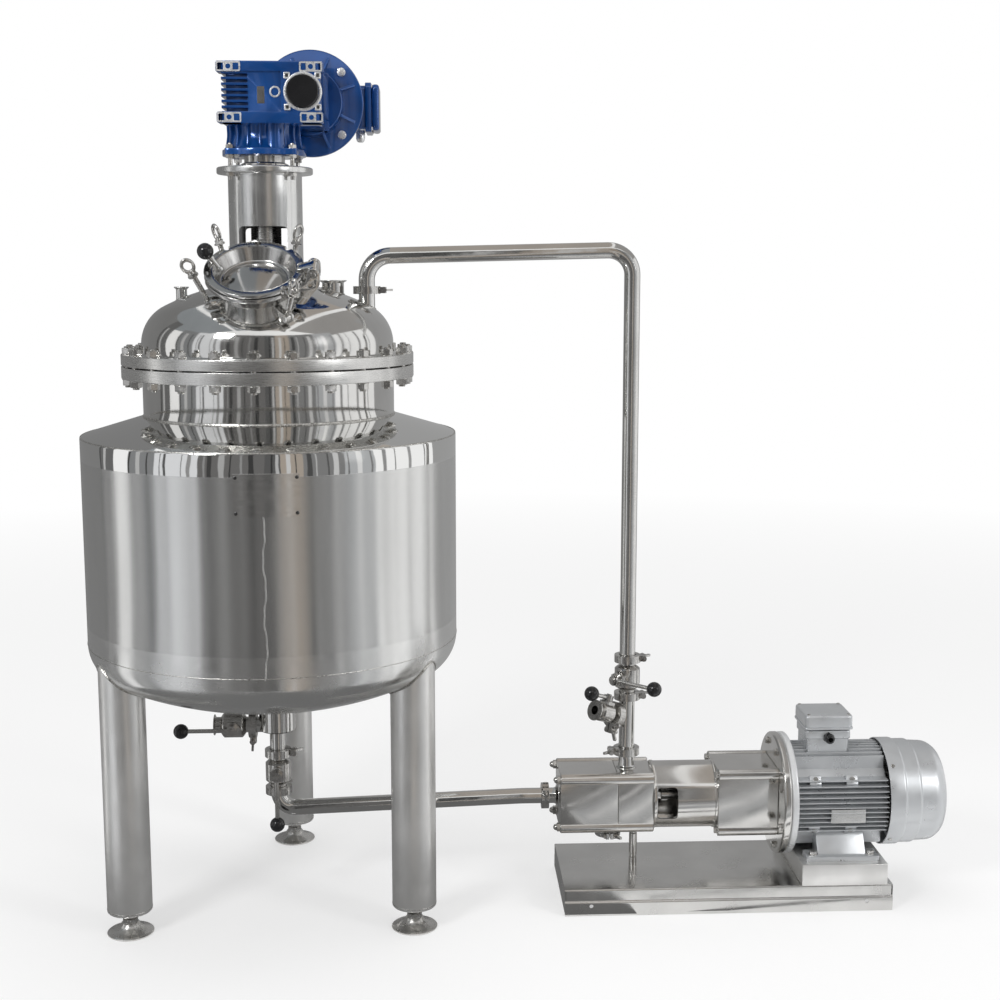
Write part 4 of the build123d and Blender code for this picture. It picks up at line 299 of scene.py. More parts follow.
BARS = [(161, 0.06, 1.2), (165.5, 0.5, 2.4), (188.5, 0.05, 1.2), (195, 0.5, 3.4), (202, 0.06, 1.0),
        (211, 0.12, 0.6), (214, 0.1, 1.6), (224.5, 0.12, 0.5), (229, 0.3, 2.2), (238, 0.3, 1.0),
        (241, 0.06, 2.6), (248, 0.42, 3.0), (253, 0.05, 0.9), (259, 0.3, 1.2), (264.5, 0.05, 3.0),
        (276, 0.04, 1.0), (279, 0.5, 1.8), (285.5, 0.6, 2.2), (289.5, 0.05, 0.6), (297, 0.08, 2.8),
        (301, 0.5, 0.8), (307.5, 0.1, 1.0), (312.5, 0.6, 3.2), (320, 0.15, 0.8), (327, 0.75, 3.4),
        (335, 0.2, 1.0), (344, 0.3, 2.4), (351.5, 0.2, 0.8), (363, 0.35, 2.6), (377, 0.25, 1.0)]
for number, (turn, grey, width) in enumerate(BARS):
    card(f"bar_{number}", turn - width / 2, turn + width / 2, 0.95, 3.4, (grey, grey, grey), 4.1, 0.007)


# The ceiling is grey too, cool on the left and warm on the right, with two narrow gaps.
def ceiling(name, left, right, tone):
    """A strip of ceiling between two distances from the tank's axis."""
    rest_selection()
    bpy.ops.mesh.primitive_plane_add(size=1, location=TANK + Vector(((left + right) / 2, 0.9, 5.6)))
    bpy.context.object.scale = (right - left, 10.2, 1)
    hang(name, tone)


ceiling("ceiling_far_left", -8.0, -2.5, (0.30, 0.32, 0.335))
ceiling("ceiling_left", -2.2, 0.0, (0.33, 0.35, 0.365))
ceiling("ceiling_right", 0.0, 1.7, (0.42, 0.385, 0.35))
ceiling("ceiling_far_right", 2.15, 8.0, (0.36, 0.35, 0.34))


# Modelling moves shared by every piece: draw an outline point by point, then spin it or pull it up.
# A piece is modelled at the origin and put in its place when it is settled.
def seat(origin, normal=(0, 0, 1), along=(1, 0, 0)):
    """Where a piece goes: an origin in mm from the tank's axis, its z direction and its x direction."""
    z = Vector(normal).normalized()
    x = Vector(along)
    x = (x - z * x.dot(z)).normalized()
    turned = Matrix((x, z.cross(x), z)).transposed().to_4x4()
    return Matrix.Translation(TANK + Vector(origin) * MM) @ turned


AXIS = seat((0, 0, 0))


def turn_by(degrees, axis="Z"):
    """A turn about an axis."""
    return Matrix.Rotation(math.radians(degrees), 4, axis)


def in_hand():
    """The piece being worked on, out of edit mode and alone in the selection."""
    piece = bpy.context.object
    rest_selection()
    piece.select_set(True)
    bpy.context.view_layer.objects.active = piece
    return piece


def draw(points):
    """Start a piece as a line through points."""
    rest_selection()
    bpy.ops.mesh.primitive_plane_add(size=MM)
    bpy.ops.object.mode_set(mode="EDIT")
    bpy.ops.mesh.merge(type="CENTER")
    bpy.ops.transform.translate(value=points[0])
    for here, there in zip(points, points[1:]):
        bpy.ops.mesh.extrude_region_move(TRANSFORM_OT_translate={"value": there - here})
    bpy.ops.mesh.select_all(action="SELECT")


def tidy(fill=False):
    """Weld what meets and turn the faces outwards."""
    bpy.ops.mesh.select_all(action="SELECT")
    bpy.ops.mesh.remove_doubles(threshold=0.00001)
    if fill:
        bpy.ops.mesh.fill_holes(sides=0)
    bpy.ops.mesh.select_all(action="SELECT")
    bpy.ops.mesh.normals_make_consistent(inside=False)
    bpy.ops.object.mode_set(mode="OBJECT")


def eased(outline, steps=4):
    """Round each corner of a closed outline that gives a third value, its radius."""
    done = []
    for index, point in enumerate(outline):
        here = Vector(point[:2])
        if len(point) < 3:
            done.append(tuple(here))
            continue
        before = Vector(outline[index - 1][:2]) - here
        after = Vector(outline[(index + 1) % len(outline)][:2]) - here
        start = here + before.normalized() * min(point[2], before.length * 0.49)
        end = here + after.normalized() * min(point[2], after.length * 0.49)
        for step in range(steps + 1):
            share = step / steps
            done.append(tuple(start * (1 - share) ** 2 + here * 2 * share * (1 - share) + end * share**2))
    return done


def spun(outline, steps=96, ring=False, sweep=360):
    """Spin an outline of (radius, height) in mm about z; a ring's outline is closed."""
    shape = eased(outline) if ring else [tuple(point[:2]) for point in outline]
    points = [Vector((radius * MM, 0, height * MM)) for radius, height in shape]
    draw(points + points[:1] if ring else points)
    bpy.ops.mesh.spin(steps=steps, angle=math.radians(sweep), center=(0, 0, 0), axis=(0, 0, -1))
    tidy(fill=sweep < 360)
    return in_hand()


def slab(outline, thick, low=0.0):
    """Fill a closed outline of (x, y) in mm and pull it up by a thickness."""
    points = [Vector((x * MM, y * MM, low * MM)) for x, y in eased(outline)]
    draw(points + points[:1])
    bpy.ops.mesh.remove_doubles(threshold=0.00001)
    bpy.ops.mesh.select_all(action="SELECT")
    bpy.ops.mesh.edge_face_add()
    bpy.ops.mesh.extrude_region_move(TRANSFORM_OT_translate={"value": (0, 0, thick * MM)})
    tidy()
    return in_hand()


def refine(kind, **settings):
    """Give the piece in hand a modifier and apply it."""
    piece = in_hand()
    added = piece.modifiers.new(kind.lower(), kind)
    for key, value in settings.items():
        setattr(added, key, value)
    bpy.ops.object.modifier_apply(modifier=added.name)
    return piece


def soften(width, segments=2, angle=35):
    """Round the sharp edges of the piece in hand."""
    return refine(
        "BEVEL", width=width * MM, segments=segments, limit_method="ANGLE", angle_limit=math.radians(angle)
    )


def carve(piece, tool, operation="DIFFERENCE"):
    """Cut a tool's shape out of a piece, or add it."""
    rest_selection()
    bpy.context.view_layer.objects.active = piece
    refine("BOOLEAN", operation=operation, object=tool, solver="EXACT")
    bpy.data.objects.remove(tool)
    return piece


def move(place):
    """Put the piece in hand in its place, with the place in its mesh."""
    piece = in_hand()
    piece.matrix_world = place
    bpy.ops.object.transform_apply(location=True, rotation=True, scale=True)
    return piece


def join(pieces):
    """Make several pieces one."""
    rest_selection()
    for piece in pieces:
        piece.select_set(True)
    bpy.context.view_layer.objects.active = pieces[0]
    if len(pieces) > 1:
        bpy.ops.object.join()
    return in_hand()


def repeat(places):
    """Copy the piece in hand to each place, each copy with its own mesh, and join the copies."""
    pattern = in_hand()
    twins = []
    for place in places:
        twin = pattern.copy()
        twin.data = pattern.data.copy()
        bpy.context.scene.collection.objects.link(twin)
        bpy.context.view_layer.objects.active = twin
        twins.append(move(place))
    bpy.data.objects.remove(pattern)
    return join(twins)


def settle(name, finish, place=None, body="frame", smooth=32, stands_for=()):
    """Name the piece in hand and give it its place, finish and body."""
    piece = move(place) if place is not None else in_hand()
    piece.name = name
    piece.data.name = name
    piece.data.materials.clear()
    piece.data.materials.append(finish.material)
    bpy.ops.object.shade_smooth_by_angle(angle=math.radians(smooth))
    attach(piece, body)
    if stands_for:
        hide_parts(*stands_for)
    return piece


def dress(finish, *nodes):
    """Give CAD nodes a finish."""
    for node in nodes:
        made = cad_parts[node]
        made.data.materials.clear()
        made.data.materials.append(finish.material)


def dish(radius, crown, knuckle, tangent, side=-1, off=0.0, steps=(18, 14)):
    """A dished end's outline from the axis to the tangent line, as (radius, height)."""
    rise = math.sqrt((crown - knuckle) ** 2 - (radius - knuckle) ** 2)
    turned = math.atan2(rise, radius - knuckle)
    centre = tangent - side * rise
    line = []
    for step in range(steps[0] + 1):
        angle = math.radians(90) - (math.radians(90) - turned) * step / steps[0]
        line.append(((crown + off) * math.cos(angle), centre + side * (crown + off) * math.sin(angle)))
    for step in range(1, steps[1] + 1):
        angle = turned * (1 - step / steps[1])
        reach = knuckle + off
        line.append((radius - knuckle + reach * math.cos(angle), tangent + side * reach * math.sin(angle)))
    return line


def mirror_finish(name, colour, rough, waves=0.25, slow=5.0):
    """Polished steel: a faint haze, slow waves in the sheet and fine polishing lines."""
    made = Finish(name, colour, rough, 1.0)
    haze = made.noise(7.0, 4)
    lines = made.noise(60.0, 2, (1, 1, 14))
    swell = made.noise(slow, 1)
    lighter = tuple(min(1.0, part * 1.08) for part in colour)
    darker = tuple(part * 0.9 for part in colour)
    made.colour(made.blend(made.spread(0, 1, haze), darker, lighter))
    made.haze((16.0, 5), rough * 0.7, rough * 1.5)
    made.bump(swell * waves + lines * 0.012, 0.35, 0.004)
    return made


# Outer shell: rolled and welded stainless sheet, polished, with a dished bottom and a shallow cone.
# A film still covers the wall below the polished top band, and a weld runs down the front.
SHELL_R = 439.0
SHELL_DISH = (SHELL_R, 900, 90, 675)
shell_low = dish(*SHELL_DISH)
shell_inner = dish(*SHELL_DISH, off=-2.0)
outline = [point for point in shell_low if point[0] > 22] + [
    (SHELL_R, 700), (SHELL_R, 1100), (SHELL_R, 1157), (SHELL_R - 1.5, 1160), (SHELL_R - 5, 1162),
    (300, 1202.4), (293.2, 1204), (293.2, 1201.5), (SHELL_R - 6, 1159), (SHELL_R - 2, 1156),
    (SHELL_R - 2, 675),
]
outline += [point for point in reversed(shell_inner[:-1]) if point[0] > 22]
FILM_LOW, FILM_HIGH = 0.722, 1.110
shell_steel = Finish("shell_steel", (0.76, 0.76, 0.75), 0.12, 1.0)
band = shell_steel.height().over(FILM_HIGH)
film = shell_steel.height().over(FILM_LOW) - band
bare = 1 - band - film
haze = shell_steel.spread(0, 1, shell_steel.noise(3.0, 5, (1, 1, 0.4)))
streaks = shell_steel.noise(26.0, 3, (1, 1, 0.05))
smudges = shell_steel.noise(11.0, 6)
under_film = shell_steel.blend(haze, (0.70, 0.70, 0.69), (0.79, 0.79, 0.78))
shell_steel.colour(shell_steel.blend(film, (0.82, 0.82, 0.81), under_film))
shell_steel.rough(
    film * shell_steel.spread(0.15, 0.24, streaks) + bare * shell_steel.spread(0.13, 0.3,
                                                                               smudges) + band * 0.04
)
shell_steel.bump(
    shell_steel.noise(3.2, 1, (1, 1, 0.3)) * 0.5 + streaks * film * 0.02 + shell_steel.noise(9.0,
                                                                                             2) * band * 0.35,
    0.35,
    0.006,
)
spun(outline, 192, ring=True)
settle("polished_shell", shell_steel, AXIS, stands_for=("outer_shell",))

weld_bead = Finish("weld_bead", (0.55, 0.54, 0.52), 0.3, 1.0)
ripples = weld_bead.noise(240.0, 2)
weld_bead.colour(weld_bead.blend(weld_bead.spread(0, 1, ripples), (0.4, 0.39, 0.37), (0.7, 0.69, 0.66)))
weld_bead.haze((60.0, 3), 0.18, 0.42)
weld_bead.bump(ripples, 0.6, 0.001)


def bead(name, radius, height, thick=2.0, at=(0, 0, 0), normal=(0, 0, 1), body="frame", steps=96):
    """A round weld: a low ridge spun round an axis."""
    flank = thick * 0.8
    spun(
        [(radius - 1, -flank), (radius + thick * 0.3, -flank * 0.6), (radius + thick * 0.5, 0),
         (radius + thick * 0.3, flank * 0.6), (radius - 1, flank)],
        steps,
        ring=True,
    )
    place = seat(at, normal) @ Matrix.Translation((0, 0, height * MM))
    return settle(name, weld_bead, place, body)


bead("girth_weld", SHELL_R, 675, 1.6, steps=160)
bead("shoulder_weld", SHELL_R - 1.5, 1160, 2.4, steps=160)
bead("cone_weld", 293, 1205, 5.0, steps=128)

# Upright weld on the front of the shell, a little left of the middle, wandering as hand work does.
# It starts under the bare plate and ends at the dished bottom.
SEAM_TURN = math.radians(-86.6)
seam_line = []
for step in range(33):
    height = 1026 - step * (1026 - 672) / 32
    turn = SEAM_TURN + 0.006 * math.sin(step * 0.55) + 0.003 * math.sin(step * 1.7)
    seam_line.append(Vector(((SHELL_R - 1.2) * math.cos(turn), (SHELL_R - 1.2) * math.sin(turn),
                             height)) * MM)
rest_selection()
bpy.ops.curve.primitive_nurbs_path_add()
seam = bpy.context.object
seam.data.splines.clear()
run = seam.data.splines.new("NURBS")
run.points.add(len(seam_line) - 1)
for knot, place in zip(run.points, seam_line):
    knot.co = (*place, 1)
run.use_endpoint_u = True
seam.data.bevel_depth = 2.1 * MM
seam.data.bevel_resolution = 3
seam.data.resolution_u = 4
bpy.ops.object.convert(target="MESH")
bpy.ops.object.mode_set(mode="EDIT")
tidy(fill=True)
seam_steel = mirror_finish("seam_steel", (0.9, 0.89, 0.87), 0.2, 0.8, 60.0)
settle("front_weld", seam_steel, AXIS)


# Bare rating plate: a thin stainless plate on four rivets, rolled to the shell.
# It is left without any marking.
def wrapped(name, finish, turn, half_turn, low, high, radius, thick, body="frame"):
    """A thin plate that follows a round wall."""
    spun([(radius, low, 1), (radius + thick, low, 1), (radius + thick, high, 1), (radius, high, 1)],
         16, ring=True, sweep=math.degrees(2 * half_turn))
    place = AXIS @ Matrix.Rotation(turn - half_turn, 4, "Z")
    return settle(name, finish, place, body)


plate_steel = Finish("plate_steel", (0.74, 0.73, 0.71), 0.16, 1.0)
brushed = plate_steel.noise(60.0, 3, (1, 1, 12))
plate_steel.colour(plate_steel.blend(plate_steel.spread(0, 1, brushed), (0.7, 0.695, 0.68),
                                     (0.8, 0.795, 0.78)))
plate_steel.haze((24.0, 3), 0.12, 0.2)
PLATE_TURN = math.radians(-85.6)
wrapped("rating_plate", plate_steel, PLATE_TURN, 0.16, 1026, 1118, SHELL_R, 0.8)
spun([(0, 0.6), (2.4, 0.4), (4.0, -0.1), (4.4, -0.5), (4.4, -2.0), (0, -2.0)], 20)
rivets = []
for turn in (-0.147, 0.147):
    for height in (1034, 1110):
        angle = PLATE_TURN + turn
        out = (math.cos(angle), math.sin(angle), 0)
        rivets.append(seat((out[0] * (SHELL_R + 1), out[1] * (SHELL_R + 1), height), out, (0, 0, 1)))
repeat(rivets)
dark_steel = Finish("dark_steel", (0.12, 0.12, 0.12), 0.35, 1.0)
dark_steel.haze((80.0, 3), 0.25, 0.5)
settle("plate_rivets", dark_steel)


def weld_line(name, points, thick, closed=True, body="frame"):
    """A weld that follows a line of points in mm from the tank's axis."""
    rest_selection()
    bpy.ops.curve.primitive_nurbs_path_add()
    line = bpy.context.object
    line.data.splines.clear()
    run = line.data.splines.new("NURBS")
    run.points.add(len(points) - 1)
    for knot, place in zip(run.points, points):
        knot.co = (*(Vector(place) * MM), 1)
    run.order_u = 3
    run.use_cyclic_u = closed
    run.use_endpoint_u = not closed
    line.data.bevel_depth = thick * MM
    line.data.bevel_resolution = 2
    line.data.resolution_u = 3
    bpy.ops.object.convert(target="MESH")
    bpy.ops.object.mode_set(mode="EDIT")
    tidy(fill=not closed)
    return settle(name, weld_bead, AXIS, body)


def dish_height(reach, radius, crown, knuckle, tangent, side=-1):
    """How high a dished end's outside is at a distance from the axis."""
    rise = math.sqrt((crown - knuckle) ** 2 - (radius - knuckle) ** 2)
    if reach < (radius - knuckle) * crown / (crown - knuckle):
        return tangent - side * rise + side * math.sqrt(crown**2 - reach**2)
    return tangent + side * math.sqrt(max(0.0, knuckle**2 - (reach - radius + knuckle) ** 2))


def foot_of(centre, radius, ground, lift=0.0, count=40):
    """Where an upright tube meets a dished end: points round its foot."""
    line = []
    for step in range(count):
        turn = 2 * math.pi * step / count
        x, y = centre[0] + radius * math.cos(turn), centre[1] + radius * math.sin(turn)
        line.append((x, y, ground(math.hypot(x, y)) + lift))
    return line


DOME = (293, 527, 100, 1370, 1)


def dome_height(reach):
    """The lid's outside."""
    return dish_height(reach, *DOME)


def belly_height(reach):
    """The jacket's dished bottom."""
    return dish_height(min(reach, 439.9), 440, 900, 90, 675)


# Inner vessel: a dished pot whose neck rises out of the jacket to a thick turned flange.
# The neck is mirror polished, the flange's edge is turned and shows fine tool lines.
bright_steel = mirror_finish("bright_steel", (0.74, 0.735, 0.72), 0.06, 0.4, 6.0)
POT_DISH = (293, 586, 58, 735)
pot_out = dish(*POT_DISH)
pot_in = dish(*POT_DISH, off=-4.0)
outline = [point for point in pot_out if point[0] > 18]
outline += [(293, 1288), (295, 1292), (300, 1294), (340, 1294, 2.5), (340, 1322, 1.5), (289, 1322, 1),
            (289, 735)]
outline += [point for point in reversed(pot_in[:-1]) if point[0] > 18]
pot_steel = mirror_finish("pot_steel", (0.74, 0.735, 0.72), 0.06, 0.4, 6.0)
turned = pot_steel.height().over(1.2935)
pot_steel.rough((1 - turned) * 0.06 + turned * pot_steel.spread(0.2, 0.34,
                                                                pot_steel.noise(30.0, 3, (1, 1, 40))))
spun(outline, 160, ring=True)
settle("vessel_pot", pot_steel, AXIS, stands_for=("inner_vessel",))

# Lid: a pressed dome welded into a turned flange, with a machined pad for the drive on its top.
# The handhole's throat is cut through it.
outline = [(20.2, 1524.1), (108, 1524.1, 2.5), (108, 1505.5), (111, 1504.4)]
outline += [point for point in dish(*DOME) if point[0] > 114]
outline += [(293, 1357), (294.5, 1352), (299, 1350), (340, 1350, 2.5), (340, 1325, 1.5), (289, 1325, 1),
            (289, 1370)]
outline += [point for point in reversed(dish(*DOME, -4.0)[:-1]) if point[0] > 21]
outline += [(20.2, 1512)]
HATCH_OUT = (0, -math.sin(math.radians(33)), math.cos(math.radians(33)))
spun(outline, 160, ring=True)
dome = move(AXIS)
bpy.ops.mesh.primitive_cylinder_add(vertices=64, radius=77.2 * MM, depth=0.16)
throat = move(seat((0, -260, 1540), HATCH_OUT) @ Matrix.Translation((0, 0, -0.115)))
carve(dome, throat)
in_hand()
dome_steel = mirror_finish("dome_steel", (0.72, 0.715, 0.70), 0.05, 0.9, 7.0)
rolled = dome_steel.height().over(1.3505)
dome_steel.rough(
    rolled * dome_steel.spread(0.05, 0.1, dome_steel.noise(16.0, 5))
    + (1 - rolled) * dome_steel.spread(0.2, 0.34, dome_steel.noise(30.0, 3, (1, 1, 40)))
)
settle("lid_dome", dome_steel, stands_for=("lid",))
weld_line("pad_weld", [(109.5 * math.cos(a * 0.1963), 109.5 * math.sin(a * 0.1963),
                        1505.5) for a in range(32)], 2.6)


def open_stub(name, x, y, radius, top, rim, low, body="frame", stands_for=()):
    """A short upright tube with a clamp rim at its open top."""
    inner = radius - 1.65
    spun(
        [(inner, top), (rim, top, 0.8), (rim, top - 2.2, 0.8), (radius + 1.4, top - 4.6, 0.8),
         (radius, top - 6.5), (radius, low), (inner, low)],
        64,
        ring=True,
    )
    return settle(name, bright_steel, seat((x, y, 0)), body, stands_for=stands_for)


open_stub("return_stub", 232, 0, 19.05, 1495, 25.25, 1452)
open_stub("vent_stub", -200, 0, 12.7, 1503, 17.4, 1468)
open_stub("charge_stub", 153, 0, 25.4, 1518, 32, 1478, stands_for=("charge_nozzle",))
weld_line("return_weld", foot_of((232, 0), 19.6, dome_height), 1.9)
weld_line("vent_weld", foot_of((-200, 0), 13.2, dome_height), 1.7)
weld_line("charge_weld", foot_of((153, 0), 26.0, dome_height), 1.9)

# Body flange bolts: hexagon-headed stainless bolts with washers, a nut underneath each.
# One is modelled and set round the flange.
bolt_steel = Finish("bolt_steel", (0.6, 0.59, 0.57), 0.2, 1.0)
bolt_steel.haze((120.0, 3), 0.14, 0.3)
bolt_steel.mottle((60.0, 3), (0.5, 0.49, 0.47), (0.68, 0.67, 0.65))


def hexagon(across, tall, low):
    """A hexagon nut or head with its corners taken off by a cone at both ends."""
    rest_selection()
    corner = across / math.sqrt(3)
    bpy.ops.mesh.primitive_cylinder_add(vertices=6, radius=corner * MM, depth=tall * MM)
    body = move(Matrix.Translation((0, 0, (low + tall / 2) * MM)))
    flat = across / 2
    drop = (corner - flat) * 0.65
    cone = spun(
        [(0, low), (flat, low), (corner + 0.3, low + drop), (corner + 0.3, low + tall - drop),
         (flat, low + tall), (0, low + tall)],
        24,
    )
    carve(body, cone, "INTERSECT")
    return in_hand()


head = hexagon(24, 13, 1351.8)
nut = hexagon(24, 13, 1279.2)
washer = spun([(0, 1350), (13.5, 1350), (13.8, 1350.4), (13.8, 1351.6), (13.5, 1352), (0, 1352)], 28)
lower = spun([(0, 1292), (13.5, 1292), (13.8, 1292.4), (13.8, 1293.6), (13.5, 1294), (0, 1294)], 28)
shank = spun(
    [(0, 1274.5), (6.6, 1274.5), (7.7, 1275.6), (7.7, 1276.6), (7.0, 1277.2), (7.7, 1277.9), (7.7, 1278.5),
     (7.0, 1279.2), (7.7, 1280), (7.7, 1366), (7.0, 1366.8), (7.7, 1367.4), (7.0, 1368.2), (5.8, 1368.7),
     (0, 1368.7)],
    18,
)
join([head, nut, washer, lower, shank])
repeat([Matrix.Translation(TANK) @ turn_by(15 * n) @ Matrix.Translation((0.325, 0, 0))
        for n in range(24)])
settle("flange_bolts", bolt_steel, stands_for=("lid_bolts",))

# Legs: satin stainless tube welded to the dished bottom, each closed by a turned plug.
# The levelling feet are cast bells on screwed spindles with a locking nut.
satin = Finish("satin_tube", (0.82, 0.815, 0.80), 0.36, 0.9)
clouds = satin.noise(9.0, 6, (1, 1, 0.6))
satin.colour(satin.blend(satin.spread(0, 1, clouds), (0.74, 0.735, 0.72), (0.9, 0.895, 0.88)))
satin.haze((14.0, 6), 0.28, 0.46)
satin.bump(satin.noise(5.0, 2) * 0.5 + satin.noise(300.0, 2) * 0.03, 0.4, 0.002)
LEGS = []
for number, turn in enumerate((210, 330, 90)):
    angle = math.radians(turn)
    centre = (385 * math.cos(angle), 385 * math.sin(angle))
    LEGS.append(centre)
    weld_line(f"leg_weld_{number}", foot_of(centre, 52.2, belly_height, -0.5), 2.6)
spun([(0, 55), (47, 55), (50, 56), (52, 58.4), (52, 690), (0, 690)], 72)
repeat([seat((*centre, 0)) for centre in LEGS])
settle("tank_legs", satin, stands_for=("legs",))
for number, centre in enumerate(LEGS):
    bead(f"plug_weld_{number}", 52, 63, 1.2, (*centre, 0), steps=64)

foot_steel = Finish("foot_steel", (0.72, 0.71, 0.69), 0.25, 1.0)
foot_steel.haze((50.0, 5), 0.16, 0.4)
foot_steel.mottle((20.0, 5), (0.58, 0.57, 0.55), (0.8, 0.79, 0.77))
foot_steel.bump(foot_steel.noise(180.0, 3), 0.25, 0.0008)
bell = spun(
    [(0, 0), (52, 0), (54, 1.5), (54, 4), (52.5, 5.4), (46, 6.8), (38, 10), (30, 14.5), (24, 20), (20.5, 26),
     (18, 28), (17.5, 30), (17.5, 36), (12, 38), (12, 54.8), (0, 54.8)],
    64,
)
lock = hexagon(30, 10, 39)
cross = spun([(0, -19), (3.6, -19), (4.4, -18), (4.4, 18), (3.6, 19), (0, 19)], 20)
cross = move(Matrix.Translation((0, 0, 33 * MM)) @ turn_by(90, "X"))
join([bell, lock, cross])
repeat([seat((*centre, 0)) for centre in LEGS])
settle("levelling_bells", foot_steel, stands_for=("levelling_feet",))

# Lantern: a turned stool of thick tube, with a window front and back and a plate that carries the drive.
# Four studs with nuts hold the gearbox above it.
ring = spun(
    [(80, 1524.1), (105, 1524.1, 2), (105, 1538, 2.5), (88, 1538, 2), (85, 1542, 2), (85, 1756, 2),
     (87, 1760, 2), (110.5, 1760, 4), (110.5, 1775, 4), (33, 1775, 1), (33, 1760), (80, 1760)],
    112,
    ring=True,
)
window = slab([(-55, -39, 10), (55, -39, 10), (55, 39, 10), (-55, 39, 10)], 260, -130)
window = move(Matrix.Translation((0, 0, 1601 * MM)) @ turn_by(90, "X"))
carve(ring, window)
in_hand()
soften(0.8, 2, 50)
stool_steel_painted_dark_bore = mirror_finish("stool_steel_painted_dark_bore", (0.72, 0.72, 0.71), 0.2, 0.3, 6.0)
# Painted shade: inside the bore and below the top plate the stool is coloured near black (0.12). The mask
# outside keeps the steel's own colour only on the outer wall and the top, so the dark bore stands in for the
# shade inside the tube.
outside = stool_steel_painted_dark_bore.reach().over(0.0815).sum("MAXIMUM", stool_steel_painted_dark_bore.height().over(1.762))
stool_steel_painted_dark_bore.colour(stool_steel_painted_dark_bore.blend(outside, (0.12, 0.12, 0.12), (0.72, 0.72, 0.71)))
settle("drive_stool", stool_steel_painted_dark_bore, AXIS, stands_for=("lantern",))
screw = spun([(0, 1546), (4.2, 1546), (4.8, 1545.4), (4.8, 1538), (0, 1538)], 20)
repeat([AXIS @ turn_by(30 + 60 * n) @ Matrix.Translation((0.096, 0, 0))
        for n in range(6)])
settle("stool_screws", dark_steel)

upper = hexagon(17, 8, 1814)
under = hexagon(17, 8, 1752)
middle = hexagon(17, 8, 1792)
stud = spun([(0, 1744), (4.4, 1744), (5, 1745), (5, 1825), (4.4, 1826), (0, 1826)], 18)
join([upper, under, middle, stud])
repeat([AXIS @ turn_by(45 + 90 * n) @ Matrix.Translation((0.099, 0, 0))
        for n in range(4)])
settle("drive_studs", bolt_steel)

# Handhole: a rolled and flared neck welded into the dome, tilted towards whoever fills the tank.
# Lugs for the swing bolts and a pair of hinge cheeks are welded to its side.
HATCH = (0, -260, 1540)
SWINGS = {"back_right": 50, "back_left": 130, "left": 192, "front_right": 312}


def hatch_place(radius=0.0, turn=0.0, height=0.0, lean=0.0):
    """A seat in the handhole's frame: turned about its axis, moved outwards and up, then leaned out."""
    upright = seat(HATCH, HATCH_OUT)
    spin = turn_by(turn)
    step = Matrix.Translation((radius * MM, 0, height * MM))
    return upright @ spin @ step @ turn_by(lean, "Y")


def below_dome(line):
    """Points round the handhole's neck where it meets the dome, for its weld."""
    found = []
    for step in range(48):
        for depth in range(-20, -140, -1):
            place = hatch_place(81.0, step * 7.5, depth).translation - TANK
            reach = math.hypot(place.x, place.y) / MM
            if reach < 292 and place.z / MM < dome_height(reach) + line:
                found.append(tuple(part / MM for part in place))
                break
    return found


neck = spun(
    [(77, -134), (80, -134), (80, -48), (81, -44), (93.5, -17), (95.5, -15, 1.5), (108.5, -15, 2),
     (108.5, -5, 2), (88, -5, 2.5), (77, -46)],
    128,
    ring=True,
)
slots = []
for turn in SWINGS.values():
    slab([(-7.5, -3.7), (-4.5, -6.6), (-0.5, -7.5), (20, -7.5), (20, 7.5), (-0.5, 7.5), (-4.5, 6.6),
          (-7.5, 3.7)], 30, -25)
    slots.append(move(turn_by(turn) @ Matrix.Translation((0.104, 0, 0))))
carve(neck, join(slots))
in_hand()
# Painted shade: the handhole's neck and cover use a darker copy of the polished steel (0.52, where the other
# polished steels are about 0.72), standing in for the dim reflections over the handhole.
cover_steel_painted_dim = mirror_finish("cover_steel_painted_dim", (0.52, 0.515, 0.505), 0.14, 0.4, 9.0)
settle("hatch_neck", cover_steel_painted_dim, seat(HATCH, HATCH_OUT), stands_for=("handhole_neck",))
weld_line("hatch_weld", below_dome(0.5), 2.4)

# Lugs, pins and hinge cheeks of the handhole.
# The cheeks are thick polished plates with a hole, and the pin's rounded ends stand proud of them.
cheek = slab(
    [(77, -72), (77, -46), (88, -16), (110, -16, 4), (116, 14, 8), (128, 19, 9), (142, 12, 9), (142, -23, 10),
     (106, -74, 6)],
    9,
)
hole = spun([(0, -5), (6, -5), (6, 20), (0, 20)], 32)
hole = move(Matrix.Translation((0.119, -0.026, 0)))
carve(cheek, hole)
in_hand()
soften(1.2, 3, 40)
side = turn_by(90, "X")
repeat([hatch_place() @ Matrix.Translation((0, lift, 0)) @ side for lift in (-0.0141, 0.0231)])
settle("hinge_cheeks", bright_steel)
spun([(0, -26), (4.5, -26), (6.5, -24.5), (9.5, -24.5, 1), (9.5, -23.4), (6, -23.4), (6, 23.4), (9.5, 23.4),
      (9.5, 24.5), (6.5, 24.5), (4.5, 26), (0, 26)], 28)
settle("hinge_pin", bolt_steel, hatch_place(128, 0, 4) @ side)
lug = slab([(79, -11), (104, -11), (109.5, -9.5), (113.5, -5.5), (115, 0), (113.5, 5.5), (109.5, 9.5),
            (104, 11), (79, 11)], 6)
soften(0.9, 2, 60)
places = []
for turn in SWINGS.values():
    for lift in (-0.0066, 0.0126):
        places.append(hatch_place(0, turn, -70) @ Matrix.Translation((0, lift, 0)) @ side)
repeat(places)
settle("swing_lugs", bright_steel)
spun([(0, -15.6), (2.4, -15.6), (3, -15), (3, 15), (2.4, 15.6), (0, 15.6)], 20)
repeat([hatch_place(104, turn, -70) @ side for turn in SWINGS.values()])
settle("swing_pins", bolt_steel)

